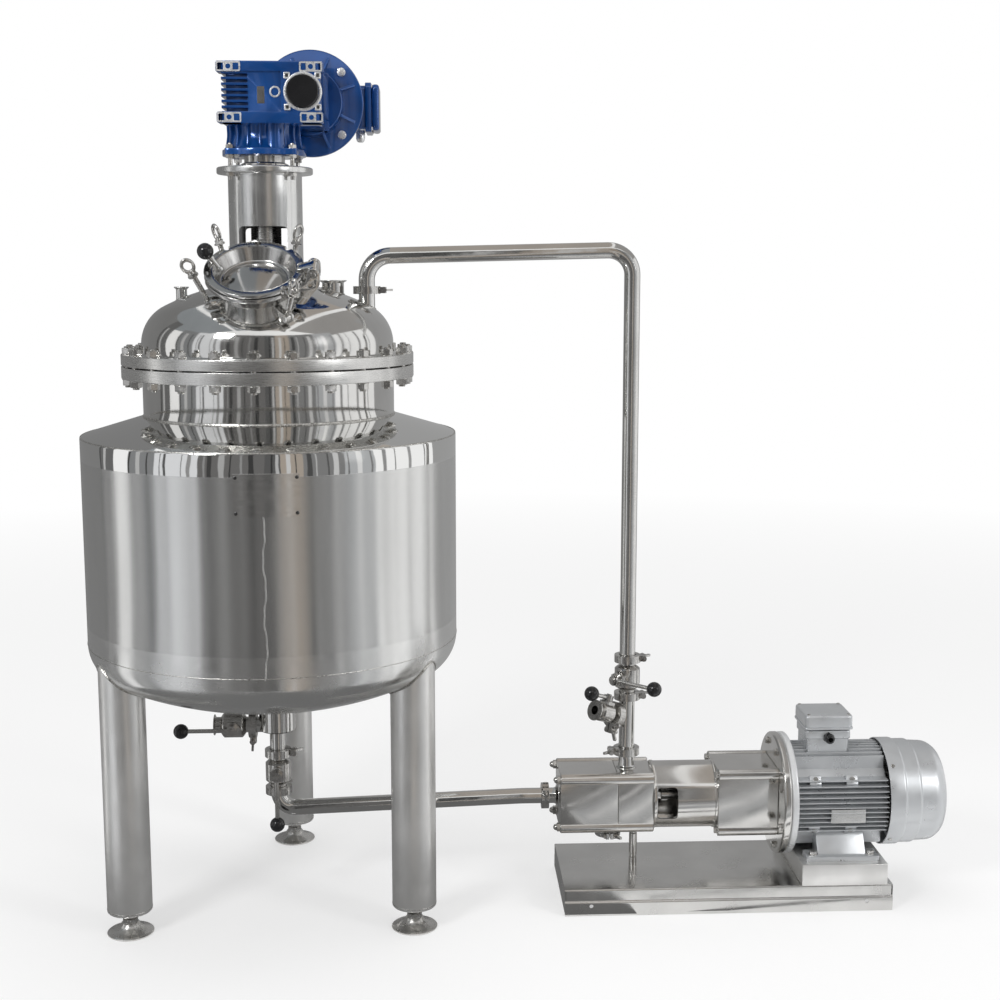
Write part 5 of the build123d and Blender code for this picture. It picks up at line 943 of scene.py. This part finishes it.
# Cover: one pressing with a flat rim, a deep well round it and a domed middle like a mirror.
# Its rim is slotted for the bolts, and a tab at the back has a lifting hole.
cover_line = [(0.6, 2)]
BALL = (70**2 + 26**2) / 52
for step in range(1, 25):
    angle = math.asin(70 / BALL) * step / 24
    cover_line.append((BALL * math.sin(angle), 2 - BALL + BALL * math.cos(angle)))
under_line = [(radius, height - 3.9) for radius, height in cover_line]
cover_line += [(72, -24.4), (75.5, -23), (77, -21), (88, 2.5), (90, 5), (93, 6), (108.5, 6, 1.8),
               (108.5, -2, 1.8), (90, -2), (88, -3.5), (76.5, -25.8), (74, -27.6), (70, -28)]
cover = spun(cover_line + under_line[::-1][1:], 128, ring=True)
tab = slab([(-20, 86), (-24, 94), (-23, 101), (-19, 109), (-12, 115.2), (-4, 118.2), (4, 118.2), (12, 115.2),
            (19, 109), (23, 101), (24, 94), (20, 86), (8, 93), (-8, 93)], 7.6, -1.8)
carve(cover, tab, "UNION")
slots = []
for turn in SWINGS.values():
    slab([(-7.5, -3.7), (-4.5, -6.6), (-0.5, -7.5), (20, -7.5), (20, 7.5), (-0.5, 7.5), (-4.5, 6.6),
          (-7.5, 3.7)], 20, -8)
    slots.append(move(turn_by(turn) @ Matrix.Translation((0.104, 0, 0))))
spun([(0, -10), (7.5, -10), (7.5, 10), (0, 10)], 32)
slots.append(move(Matrix.Translation((0, 0.0985, 0))))
carve(cover, join(slots))
in_hand()
settle("hatch_cover", cover_steel_painted_dim, seat(HATCH, HATCH_OUT), "handhole_lid",
       stands_for=("handhole_cover",))
arm = slab([(92, 5), (92, 9.5, 2), (110, 14, 6), (128, 17, 6), (137, 13.5, 4), (141, 4, 4), (137, -5.5, 4),
            (128, -9, 4), (119, -5, 4), (116, 2, 4)], 27, -13.5)
bore = spun([(0, -20), (6.2, -20), (6.2, 20), (0, 20)], 28)
bore = move(Matrix.Translation((0.128, 0.004, 0)))
carve(arm, bore)
in_hand()
soften(1.6, 3, 40)
settle("hinge_arm", bright_steel, seat(HATCH, HATCH_OUT) @ side, "handhole_lid")

# Swing bolts: an eye on the pin, a screwed rod, and a cast eye nut on a washer.
# The nut's loop is a little longer than it is wide.
rod_line = [(0, 0), (5.2, 0)]
for step in range(34):
    rod_line += [(6.0, 32 + step * 1.75), (5.3, 32.9 + step * 1.75)]
rod_line += [(4.6, 92.4), (0, 92.4)]
for place, turn in SWINGS.items():
    rod_piece = spun(rod_line, 20)
    spun([(3.1, -6.2), (8.6, -6.2, 1), (9.9, -5), (9.9, 5), (8.6, 6.2, 1), (3.1, 6.2)], 32, ring=True)
    eye = move(side)
    collar = spun([(6, 78.2), (12, 78.2, 0.8), (12, 80.4, 0.8), (6, 80.4)], 32, ring=True)
    nut = hexagon(18, 7.2, 80.6)
    rest_selection()
    bpy.ops.mesh.primitive_torus_add(major_segments=48, minor_segments=16, major_radius=0.0132,
                                     minor_radius=0.0038)
    loop = move(Matrix.Translation((0, 0, 0.1055)) @ side @ Matrix.Diagonal((0.93, 1.2, 1, 1)))
    foot = spun([(0, 87), (7.5, 87), (6.2, 90), (4.8, 92.5), (0, 92.5)], 24)
    join([rod_piece, eye, collar, nut, loop, foot])
    lean = hatch_place(104, turn, -70, 20)
    settle(f"swing_bolt_{place}_detail", bolt_steel, lean, f"swing_{place}",
           stands_for=(f"swing_bolt_{place}",))


# Paints, plastic and the steels of the pump and the pipes.
# The drive is a deep glossy blue, and the pump's motor a pale silver grey.
def paint_finish(name, colour, dark, rough, peel=0.12, metal=0.0, coat=0.35):
    """Sprayed paint: a little orange peel, slow shade changes and dust in the gloss."""
    made = Finish(name, colour, rough, metal, coat)
    made.colour(made.blend(made.spread(0, 1, made.noise(9.0, 4)), dark, colour))
    made.haze((22.0, 5), rough * 0.7, rough * 1.35)
    made.bump(made.noise(420.0, 2) * peel + made.noise(18.0, 2) * 0.4, 0.25, 0.0008)
    return made


blue_paint = paint_finish("blue_paint", (0.006, 0.078, 0.31), (0.003, 0.045, 0.19), 0.17, 0.12, 0.35, 1.0)
silver_paint = paint_finish("silver_paint", (0.62, 0.635, 0.65), (0.54, 0.555, 0.57), 0.34, 0.12, 0.65, 0.3)
grey_paint = paint_finish("grey_paint", (0.72, 0.73, 0.735), (0.64, 0.65, 0.66), 0.38, 0.12, 0.4, 0.25)
black_plastic = paint_finish("black_plastic", (0.012, 0.012, 0.013), (0.006, 0.006, 0.007), 0.16, 0.04)
pipe_steel = mirror_finish("pipe_steel", (0.72, 0.715, 0.7), 0.08, 0.3, 20.0)
head_steel = mirror_finish("head_steel", (0.72, 0.71, 0.69), 0.13, 0.8, 9.0)
pan_steel = mirror_finish("pan_steel", (0.68, 0.675, 0.66), 0.2, 0.5, 6.0)

# Cover knob: a steel stem with a foot and a collar, welded beside the well, and a glossy black ball on it.
KNOB_SEAT = hatch_place(82, 165, -9, 35)
spun([(0, -5), (9, -5), (9, 1.5, 1.5), (6.3, 3, 1), (6.3, 24, 1), (8, 25, 0.8), (8, 31.4), (0, 31.4)], 32)
settle("knob_stem", bright_steel, KNOB_SEAT, "handhole_lid")
ball = [(18 * math.sin(math.radians(turn)), 48 - 18 * math.cos(math.radians(turn))) for turn in range(28, 180,
                                                                                                      8)]
spun([(0, 31), (7, 31), *ball, (0, 66)], 48)
settle("knob_ball", black_plastic, KNOB_SEAT, "handhole_lid", stands_for=("cover_knob",))


# Worm gearbox: a cast aluminium housing in blue, with machined corner pads, cooling fins and a ribbed skirt.
# The machined faces are left bright, as the real casting's are.
FRONT = turn_by(90, "X")
ASIDE = Matrix(((0, 0, 1, 0), (1, 0, 0, 0), (0, 1, 0, 0), (0, 0, 0, 1)))
WORM = (100, 1934)


def panel(outline, thick, start, way=None):
    """A slab that faces forwards (x, z) or, with a way given, sideways (y, z)."""
    slab(outline, thick, start)
    return move(FRONT if way is None else ASIDE)


def box_line(left, right, low, high, corner=3.0):
    """A rounded rectangle as an outline."""
    return [(left, low, corner), (right, low, corner), (right, high, corner), (left, high, corner)]


def disc_line(x, y, radius, count=24):
    """A circle as an outline."""
    return [(x + radius * math.cos(2 * math.pi * step / count),
             y + radius * math.sin(2 * math.pi * step / count))
            for step in range(count)]


housing = slab(box_line(-82, 140, -118, 118, 14), 134, 1866)
cuts = [
    panel(box_line(-95, 52, 1890, 1978, 2), 8, 112),
    panel(box_line(-95, 52, 1890, 1978, 2), 8, -120),
    panel(box_line(-30, 40, 1996, 2010, 1), 200, -100),
]
for step in range(7):
    low = 1891.5 + step * 12.4
    cuts.append(panel(box_line(-95, -22, low, low + 7.4, 1.5), 26, 88))
    cuts.append(panel(box_line(-95, -73, low, low + 7.4, 1.5), 240, -120))
for cut in cuts:
    carve(housing, cut)
in_hand()
soften(1.2, 2, 50)
settle("gear_block", blue_paint, AXIS)

pads = []
machined = []


def pad_pockets(left, right, low, high, deep):
    """The two recesses and the tapped hole in the face of a corner pad."""
    centre = (left + right) / 2
    return [
        panel(box_line(left + 4.5, centre - 10.5, low + 4.5, high - 4.5, 2), deep + 4, 120 - deep),
        panel(box_line(centre + 10.5, right - 4.5, low + 4.5, high - 4.5, 2), deep + 4, 120 - deep),
        panel(disc_line(centre, (low + high) / 2, 5.6), deep + 10, 120 - deep),
    ]


for left, right in ((-92, -36), (92, 145)):
    for middle in (1878, 1988):
        low, high = middle - 12, middle + 12
        pad = panel(box_line(left, right, low, high, 5), 46, 72)
        for pocket in pad_pockets(left, right, low, high, 24):
            carve(pad, pocket)
        pads.append(in_hand())
        rim = panel(box_line(left + 1, right - 1, low + 1, high - 1, 4), 1.0, 117.6)
        for pocket in pad_pockets(left, right, low, high, 6):
            carve(rim, pocket)
        machined.append(in_hand())
        pads.append(panel(box_line(left, right, low, high, 5), 46, -118))
for piece in pads:
    rest_selection()
    bpy.context.view_layer.objects.active = piece
    soften(1.5, 2, 50)
join(pads)
settle("gear_pads", blue_paint, AXIS)
alloy = Finish("machined_alloy", (0.88, 0.89, 0.9), 0.3, 0.85)
alloy.haze((90.0, 4), 0.24, 0.36)
alloy.mottle((50.0, 3), (0.82, 0.83, 0.85), (0.92, 0.925, 0.93))
alloy.bump(alloy.noise(500.0, 2, (1, 1, 8)), 0.2, 0.0006)
join(machined)
settle("pad_faces", alloy, AXIS)

# Cap ring with four square lugs and their screws, the plug beside it, and the small bare plate.
# Slanted ribs stand on the housing's right side.
ring = spun([(36.4, 118), (36.4, 124, 1), (41.5, 124, 1.5), (44, 118, 2)], 72, ring=True)
ring = move(Matrix.Translation((WORM[0] * MM, 0, WORM[1] * MM)) @ FRONT)
lugs = [ring]
screws = []
for turn in (45, 135, 225, 315):
    angle = math.radians(turn)
    x, z = WORM[0] + 48.5 * math.cos(angle), WORM[1] + 48.5 * math.sin(angle)
    lug = slab([(-7, -7, 2), (7, -7, 2), (7, 7, 2), (-7, 7, 2)], 6, 117.5)
    hole = slab([(-3.8, -3.8, 1), (3.8, -3.8, 1), (3.8, 3.8, 1), (-3.8, 3.8, 1)], 10, 118)
    carve(lug, hole)
    in_hand()
    soften(0.8, 2, 50)
    lugs.append(move(Matrix.Translation((x * MM, 0, z * MM)) @ FRONT @ Matrix.Rotation(angle + math.pi / 4, 4,
                                                                                       "Z")))
    screws.append(Matrix.Translation((x * MM, 0, z * MM)) @ FRONT)
join(lugs)
settle("cap_ring", alloy, AXIS)
spun([(0, 120.5), (2.6, 120.5), (3.2, 120), (3.2, 117), (0, 117)], 18)
repeat(screws)
settle("ring_screws", dark_steel, AXIS)
plug = spun([(8.5, 108), (8.5, 113.6, 0.5), (12.5, 113.6, 1), (13, 108)], 40, ring=True)
middle = spun([(0, 109), (8.6, 109), (8.6, 111), (5.2, 111.6), (4.6, 110), (0, 110)], 32)
join([plug, middle])
plug_place = Matrix.Translation((0.038, 0, 1.934)) @ FRONT
settle("vent_plug", alloy, AXIS @ plug_place)
plate = panel(box_line(-2, 15, 1908, 1946, 2), 1.6, 110.5)
soften(0.4, 1, 50)
settle("gear_plate", plate_steel, AXIS)
ribs = []
for step in range(8):
    slab([(-3, -46, 2), (3, -46, 2), (3, 46, 2), (-3, 46, 2)], 7, 0)
    soften(1.0, 2, 50)
    slope = turn_by(24)
    ribs.append(move(Matrix.Translation((0.138, (-77 + 22 * step) * MM, 1.934)) @ ASIDE @ slope))
join(ribs)
settle("gear_ribs", blue_paint, AXIS)

# Output flange, ribbed skirt and the plain boss in front of it.
# Four ears on the flange take the studs.
flange_line = []
for step in range(96):
    angle = 2 * math.pi * step / 96
    ear = max(0.0, math.cos(4 * (angle - math.pi / 4))) ** 6
    flange_line.append(((96 + 17 * ear) * math.cos(angle), (96 + 17 * ear) * math.sin(angle)))
flange = slab(flange_line, 14, 1800)
holes = [slab(disc_line(69.3 * a, 69.3 * b, 5.4), 30, 1790) for a in (-1, 1) for b in (-1, 1)]
carve(flange, join(holes))
in_hand()
soften(1.5, 2, 50)
skirt = spun([(0, 1812), (92, 1812), (92, 1814), (84, 1822), (78.5, 1836), (76, 1850), (77, 1868), (0, 1868)],
             96)
boss = spun([(0, 1813), (27, 1813), (24, 1830), (23, 1868), (0, 1868)], 40)
boss = move(Matrix.Translation((0.030, -0.060, 0)))
ribs = []
for step in range(18):
    angle = 2 * math.pi * (step + 0.5) / 18
    slab([(66, 1812), (95, 1812), (88, 1820, 6), (84, 1846, 8), (85, 1868), (66, 1868)], 4.8, -2.4)
    soften(1.2, 2, 50)
    ribs.append(move(Matrix.Rotation(angle, 4, "Z") @ FRONT))
join([flange, skirt, boss] + ribs)
settle("gear_skirt", blue_paint, AXIS, stands_for=("gearbox_housing",))

# Motor flange at the back of the gearbox, with its hub, stiffening ribs and bright bolts.
# The finned motor, its box and its cowl stand behind it.
DRIVE = seat((100, 118, 1934), (0, 1, 0), (1, 0, 0))
disc = [(14.2, 0), (121, 0), (124, 1.5), (124.9, 4), (124.9, 10), (123.5, 12), (14.2, 12)]
round_flange = spun(disc, 160, ring=True)
hub = spun([(15, 1), (80, 1), (78, -3), (76, -8), (76, -30), (74, -32), (15, -32)], 112, ring=True)
ribs = [round_flange, hub]
for turn in range(0, 360, 45):
    slab([(66, 0.5), (114, 0.5), (112, -3, 3), (80, -27, 4), (66, -29)], 7, -3.5)
    soften(1.4, 2, 50)
    ribs.append(move(turn_by(turn + 22.5) @ FRONT))
join(ribs)
settle("drive_flange", blue_paint, DRIVE)
bolt = hexagon(17, 8, -10)
washer = spun([(0, -2), (9.8, -2), (10.2, -1.6), (10.2, 0), (0, 0)], 28)
join([bolt, washer])
repeat([DRIVE @ turn_by(turn) @ Matrix.Translation((0.103, 0, 0))
        for turn in (45, 135, 225, 315)])
settle("drive_bolts", alloy)


def finned_frame(core, tip, low, length, pitch):
    """A cast motor frame along z: a round core with straight fins on four sides."""
    body = spun([(0, low), (core - 3, low), (core, low + 3), (core, low + length - 3),
                 (core - 3, low + length), (0, low + length)], 96)
    fins = [body]
    count = int(0.72 * core / pitch)
    for index in range(-count, count + 1):
        aside = index * pitch
        root = math.sqrt(core**2 - aside**2) - 3
        end = math.sqrt(tip**2 - aside**2)
        slab([(root, -1.6), (end - 1, -1.1, 1), (end - 1, 1.1, 1), (root, 1.6)], length - 6, low + 3)
        aside_step = Matrix.Translation((0, aside * MM, 0))
        fins.append(repeat([turn_by(turn) @ aside_step for turn in (0, 90, 180,
                                                                                                  270)]))
    return join(fins)


# Agitator motor: finned frame, the flat pad and box on its side, and the pressed cowl over its fan.
# The gland under the box is bare metal.
finned_frame(82, 96, 12, 210, 12.0)
settle("drive_frame", blue_paint, DRIVE, stands_for=("agitator_motor",))


def pressed_cowl(radius, length, ridge):
    """A fan cowl along z, open at its foot, with two ridges and a domed end with slots."""
    shell = spun(
        [(radius - 2.5, 0), (radius, 0, 1), (radius, ridge, 3), (radius - 3.6, ridge + 4, 2),
         (radius - 3.6, 2 * ridge, 3), (radius - 7.4, 2 * ridge + 4, 2), (radius - 9.6, 0.8 * length, 10),
         (radius - 26, 0.95 * length, 14), (0.5 * radius, length), (1.5, length), (1.5, length - 2.5),
         (0.5 * radius, length - 2.5), (radius - 27, 0.95 * length - 2.5, 12),
         (radius - 12.4, 0.8 * length - 1, 8), (radius - 10.2, 2 * ridge + 3),
         (radius - 6.5, 2 * ridge - 1), (radius - 6.5, ridge + 3), (radius - 2.5, ridge)],
        128,
        ring=True,
    )
    cuts = []
    for ring_r, count, wide in ((0.2, 8, 3.6), (0.36, 16, 4.0), (0.53, 24, 4.2), (0.68, 30, 4.2)):
        slab([(-0.055 * radius, -wide / 2, 1.5), (0.055 * radius, -wide / 2, 1.5),
              (0.055 * radius, wide / 2, 1.5), (-0.055 * radius, wide / 2, 1.5)], 30, length - 22)
        cuts.append(repeat([Matrix.Rotation(2 * math.pi * n / count, 4, "Z")
                            @ Matrix.Translation((ring_r * radius * MM, 0, 0)) for n in range(count)]))
    carve(shell, join(cuts))
    return in_hand()


pressed_cowl(99, 78, 20)
settle("drive_cowl", blue_paint, DRIVE @ Matrix.Translation((0, 0, 0.222)),
       stands_for=("agitator_fan_cowl",))
tray = panel(box_line(190, 294, 1882, 1986, 10), 31, 195, ASIDE)
soften(2, 2, 50)
lid_part = panel(box_line(183, 301, 1875, 1993, 14), 15, 226, ASIDE)
soften(2, 2, 50)
cap_part = panel(box_line(187, 297, 1879, 1989, 12), 18, 242, ASIDE)
soften(7, 4, 50)
join([tray, lid_part, cap_part])
settle("drive_box", blue_paint, AXIS, stands_for=("agitator_terminal_box",))
spun([(0, 3), (2.4, 3), (4.2, 2), (4.8, 0.4), (4.8, -2), (0, -2)], 20)
repeat([Matrix.Translation((0.2415, y * MM, z * MM)) @ ASIDE for y in (193, 291) for z in (1884, 1984)])
settle("box_screws", alloy, AXIS)
gland = hexagon(22, 9, 0)
collar = spun([(6, -3), (10.5, -3), (11, -2), (11, 16), (10, 21), (8, 24.5, 1), (6, 26), (6, -3)], 36,
              ring=True)
join([gland, collar])
settle("drive_gland", alloy, seat((211, 257, 1882), (0, 0, -1)))


# Pump head: a polished casing in two blocks with a tie bar along each corner, closed by acorn nuts.
# Inlet, outlet and drain are short tubes with clamp ferrules.
PUMP = seat((0, 0, 250), (1, 0, 0), (0, 0, 1))


def along_pump(across, start, thick, width, centre=0.0):
    """A flat-sided block on the pump's axis: half sizes across, and a rounded edge."""
    made = panel(box_line(-across, across, 250 + centre - across, 250 + centre + across, 14), thick, start,
                 ASIDE)
    rest_selection()
    bpy.context.view_layer.objects.active = made
    return soften(width, 3, 50)


def tie_bars(radius, offset, start, end):
    """Four bars along a block's corners."""
    spun([(0, start), (radius - 2, start), (radius, start + 2), (radius, end - 2), (radius - 2, end),
          (0, end)], 40)
    return repeat([Matrix.Translation((z * offset * MM, y * offset * MM, 0)) for z in (-1, 1) for y in (-1,
                                                                                                        1)])


first = along_pump(71.5, 690.2, 141, 1.6)
second = along_pump(71.5, 831.8, 88, 1.6)
join([first, second])
settle("pump_head", head_steel, AXIS, stands_for=("pump_casing",))
tie_bars(15, 60, 690, 920)
settle("head_bars", head_steel, PUMP)
nut = hexagon(19, 8, -8)
cap = spun([(0, -17), (2.5, -16.6), (5, -15.4), (7, -13), (8, -10), (8.2, -7), (0, -7)], 28)
washer = spun([(0, -1.2), (11, -1.2), (11, 0), (0, 0)], 28)
join([nut, cap, washer])
repeat([PUMP @ Matrix.Translation((z * 0.06, y * 0.06, 0.6902)) for z in (-1, 1) for y in (-1, 1)])
settle("head_nuts", bolt_steel)


def ferrule_tube(name, place, low, high, radius=19.05, rim=25.25, collar=0.0, finish=None):
    """A short tube along z from low to a clamp ferrule at high, with a rolled collar at its foot."""
    line = [(radius - 1.65, high), (rim, high, 0.6), (rim, high - 2, 0.6), (radius + 1.4, high - 4.6, 1),
            (radius, high - 6), (radius, low + collar)]
    if collar:
        line += [(radius + 1.5, low + collar * 0.6, 2), (radius + collar, low + 1.5, 2),
                 (radius + collar, low - 1)]
    line += [(radius, low - 1)] if not collar else []
    line += [(radius - 1.65, low - 1)]
    spun(line, 72, ring=True)
    return settle(name, finish or pipe_steel, place)


flip = Matrix.Rotation(math.pi, 4, "X")
ferrule_tube("pump_inlet", PUMP @ Matrix.Translation((0, 0, 0.690)) @ flip, 0, 33, collar=11)
ferrule_tube("pump_outlet", seat((859, 0, 322)), 0, 42, collar=6)
ferrule_tube("pump_drain", seat((815, 0, 178), (0, 0, -1)), 0, 21, 12.7, 25.25, collar=5)

# Bearing frame: a bored tube with a window in front and behind, and a polished rim round each.
# Its right end closes against the coupling shroud.
tube = spun([(73, 920), (83.5, 920, 1), (83.5, 927, 1), (82, 928), (82, 1070), (84, 1071, 1), (84, 1076, 1),
             (73, 1076)],
            128, ring=True)
gap = panel(box_line(928, 978, 210, 290, 10), 260, -130)
gap = move(PUMP.inverted() @ Matrix.Translation(TANK))
carve(tube, gap)
in_hand()
soften(1.2, 3, 50)
wall = spun([(14.2, 1036), (72.5, 1036), (72.5, 1075.5), (14.2, 1075.5)], 72, ring=True)
seal = spun([(14.2, 921), (40, 921), (40, 931, 2), (26, 933), (24, 946, 2), (14.2, 946)], 64, ring=True)
join([tube, wall, seal])
settle("frame_tube", head_steel, PUMP, stands_for=("bearing_frame",))

# Coupling shroud: a larger block with the same corner bars, bolts at both ends, and the adapter disc.
# The disc is turned and polished, and carries the motor's flange.
shroud = along_pump(82, 1076.2, 148.6, 2.4)
bore = spun([(0, 1060), (62, 1060), (62, 1240), (0, 1240)], 64)
bore = move(PUMP)
bore = move(Matrix.Translation(-TANK))
carve(shroud, bore)
in_hand()
settle("shroud_block", head_steel, AXIS, stands_for=("coupling_shroud",))
tie_bars(15, 70, 1076, 1225)
settle("shroud_bars", head_steel, PUMP)
bolt = hexagon(15, 6, 0)
washer = spun([(0, -1.4), (9, -1.4), (9.4, -1), (9.4, 0), (0, 0)], 24)
join([bolt, washer])
places = [PUMP @ Matrix.Translation((z * 0.07, y * 0.07, 1.0748)) @ flip for z in (-1, 1) for y in (-1, 1)]
for turn in (22, 68, 112, 158, 202, 248, 292, 338):
    spin = turn_by(turn)
    places.append(PUMP @ spin @ Matrix.Translation((0.128, 0, 1.2236)) @ flip)
repeat(places)
settle("shroud_bolts", bolt_steel)
spun([(62, 1225), (146, 1225, 2), (150, 1229, 1.5), (150, 1241, 1.5), (146, 1245, 2), (62, 1245)], 160,
     ring=True)
settle("adapter_disc", head_steel, PUMP, stands_for=("motor_adapter",))

# Pump motor: flange, finned frame, lugs with slotted screws, feet, and the pad under its box.
# It is painted a pale silver grey, and its small plate is bare.
spun([(14.2, 1245.2), (146, 1245.2, 2), (149.5, 1248, 1.5), (149.5, 1259, 1.5), (146, 1262, 2),
      (112, 1262, 4), (108, 1270, 6), (14.2, 1270)], 144, ring=True)
settle("motor_flange", grey_paint, PUMP)
finned_frame(102, 128, 1262, 228, 12.5)
settle("motor_frame", silver_paint, PUMP, stands_for=("pump_motor",))


def slotted(radius, high):
    """A round screw head with a slot."""
    head = spun([(0, high), (radius * 0.8, high), (radius, high * 0.7), (radius, -1), (0, -1)], 28)
    cut = slab([(-radius - 1, -0.8), (radius + 1, -0.8), (radius + 1, 0.8), (-radius - 1, 0.8)], 6,
               high - 1.6)
    carve(head, cut)
    return in_hand()


lugs = []
places = []
for x, turn in ((1310, 58), (1400, 58), (1310, 122), (1400, 122), (1310, -58), (1400, -58), (1310, -122),
                (1400, -122)):
    spin = turn_by(turn)
    slab([(96, -14, 3), (121, -13, 4), (121, 13, 4), (96, 14, 3)], 28, x - 14)
    soften(1.8, 2, 50)
    lugs.append(move(spin))
    places.append(PUMP @ spin @ Matrix.Translation((0.121, 0, x * MM)) @ turn_by(90, "Y"))
join(lugs)
settle("motor_lugs", silver_paint, PUMP)
slotted(7, 3)
repeat(places)
settle("lug_screws", bolt_steel)
soles = []
for side in (-1, 1):
    low, high = sorted((side * 82, side * 134))
    sole = slab(box_line(1286, 1466, low, high, 8), 12, 118)
    slots = [slab(box_line(x - 10, x + 10, side * 114 - 6, side * 114 + 6, 5.5), 30, 110) for x in (1306,
                                                                                                    1446)]
    carve(sole, join(slots))
    in_hand()
    soles.append(soften(1.6, 2, 50))
    web = [(side * 118, 129, 4), (side * 86, 184, 8), (side * 48, 184), (side * 58, 124),
           (side * 118, 124, 2)]
    panel(web if side < 0 else web[::-1], 118, 1317, ASIDE)
    soles.append(soften(2.5, 2, 50))
join(soles)
settle("motor_feet", silver_paint, AXIS)
bolt = hexagon(17, 7, 131.5)
washer = spun([(0, 130), (11, 130), (11, 131.5), (0, 131.5)], 24)
join([bolt, washer])
repeat([Matrix.Translation((x * MM, y * MM, 0)) for x in (1306, 1446) for y in (-114, 114)])
settle("foot_bolts", bolt_steel, AXIS)
pressed_cowl(132, 155, 38)
settle("motor_cowl", silver_paint, PUMP @ Matrix.Translation((0, 0, 1.490)),
       stands_for=("pump_fan_cowl",))
slotted(5, 2.4)
repeat([PUMP @ turn_by(turn) @ Matrix.Translation((0.1318, 0, 1.502))
        @ turn_by(90, "Y") for turn in (45, 135, 225, 315)])
settle("cowl_screws", bolt_steel)
panel(box_line(1345, 1430, 212, 246, 3), 1.2, 125)
soften(0.4, 1, 50)
settle("motor_plate", plate_steel, AXIS)

# Terminal box of the pump's motor: a cast tray, an overhanging cover with rounded edges, and four screws.
# A black gland looks forwards.
tray = slab(box_line(1300, 1404, -48, 48, 8), 60, 362)
soften(3, 3, 50)
neck_part = slab(box_line(1296, 1408, -51, 51, 10), 22, 400)
soften(4, 3, 50)
cover = slab(box_line(1293, 1411, -57, 57, 12), 33, 428.4)
soften(6, 4, 50)
rim_part = slab(box_line(1291.5, 1412.5, -58.5, 58.5, 12), 5, 426)
soften(1.2, 2, 50)
join([tray, neck_part, cover, rim_part])
settle("motor_box", silver_paint, AXIS, stands_for=("pump_terminal_box",))
slotted(4, 1.8)
repeat([Matrix.Translation((x * MM, y * MM, 0.4612)) for x in (1303, 1401) for y in (-47, 47)])
settle("lid_screws", bolt_steel, AXIS)
nut = hexagon(24, 8, 0)
collar = spun([(6, -8), (12, -8), (12.5, 8), (12.5, 15), (11, 20), (8.5, 23, 1), (6, 24), (6, -8)], 36,
              ring=True)
join([nut, collar])
settle("motor_gland", black_plastic, seat((1352, -50, 405), (0, -1, 0)))

# Pump base: a folded pan with a mirror-like top and a lip along its front and back, and the motor's riser.
# A weld closes the riser to the pan, and the lip is drilled for the floor bolts.
fold = [(-155, 0), (-155, 33, 2), (-151.5, 36, 2), (-151.5, 65, 4), (151.5, 65, 4), (151.5, 36, 2),
        (155, 33, 2), (155, 0), (152, 0), (152, 31, 2), (148.5, 34, 2), (148.5, 62, 2), (-148.5, 62, 2),
        (-148.5, 34, 2), (-152, 31, 2), (-152, 0)]
pan = panel(fold, 800, 695, ASIDE)
ends = [panel(box_line(-151.5, 151.5, 0.5, 64, 3), 3, 695.2, ASIDE),
        panel(box_line(-151.5, 151.5, 0.5, 64, 3), 3, 1491.8, ASIDE)]
holes = [panel(disc_line(x, 24, 5), 340, -170) for x in (759, 1431)]
carve(pan, join(holes))
in_hand()
join([pan] + ends)
settle("base_pan", pan_steel, AXIS, stands_for=("pump_base",))
slab(box_line(1271, 1481, -154.5, 154.5, 3), 53, 65)
soften(2.2, 3, 50)
settle("motor_riser", satin, AXIS)
edge = [(1270, -151.5), (1270, 151.5), (1482, 151.5), (1482, -151.5)]
run = []
for (ax, ay), (bx, by) in zip(edge, edge[1:] + edge[:1]):
    run += [(ax + (bx - ax) * n / 24, ay + (by - ay) * n / 24, 65.6) for n in range(24)]
weld_line("riser_weld", run, 1.8)


# Finishes of the remaining CAD solids: cast and drawn steel, bronze, rubber and mineral wool.
# Each has its own grain.
cast_steel = Finish("cast_steel", (0.6, 0.59, 0.575), 0.16, 1.0)
cast_steel.mottle((30.0, 5), (0.5, 0.49, 0.475), (0.68, 0.67, 0.65))
cast_steel.haze((70.0, 4), 0.09, 0.26)
cast_steel.bump(cast_steel.noise(45.0, 3) * 0.5 + cast_steel.noise(260.0, 2) * 0.15, 0.3, 0.0012)
shaft_steel = Finish("shaft_steel", (0.55, 0.545, 0.53), 0.22, 1.0)
shaft_steel.rough(shaft_steel.spread(0.14, 0.34, shaft_steel.noise(40.0, 4, (1, 1, 12))))
bronze = Finish("bronze_wheel", (0.55, 0.36, 0.16), 0.3, 1.0)
bronze.mottle((40.0, 4), (0.42, 0.26, 0.1), (0.66, 0.45, 0.22))
rubber = Finish("white_gasket", (0.72, 0.71, 0.68), 0.6)
rubber.haze((90.0, 3), 0.5, 0.75)
wool = Finish("mineral_wool", (0.5, 0.42, 0.24), 0.95)
wool.mottle((60.0, 5), (0.38, 0.31, 0.16), (0.6, 0.52, 0.33))
wool.bump(wool.noise(240.0, 4), 0.8, 0.004)

dress(pipe_steel, "return_pipe", "suction_pipe", "riser_pipe", "outlet_pipe", "jacket_ports")
dress(cast_steel, "bottom_valve_body", "side_valve_body", "line_valve_body", "branch_valve_body",
      "pipe_clamps")
dress(cast_steel, "bottom_valve_lever", "side_valve_lever", "line_valve_lever", "branch_valve_lever")
dress(cast_steel, "bearing_housing", "shaft_seal", "head_support")
dress(shaft_steel, "agitator_shaft", "shaft_coupling", "pump_shaft", "pump_impeller", "worm_shaft",
      "anchor_impeller")
dress(bronze, "worm_wheel")
dress(rubber, "lid_gasket", "handhole_gasket")
dress(wool, "insulation")
dress(satin, "heating_jacket")
dress(black_plastic, "worm_cap", "bottom_valve_knob", "side_valve_knob", "line_valve_knob",
      "branch_valve_knob")

bpy.context.scene.view_settings.view_transform = "Standard"
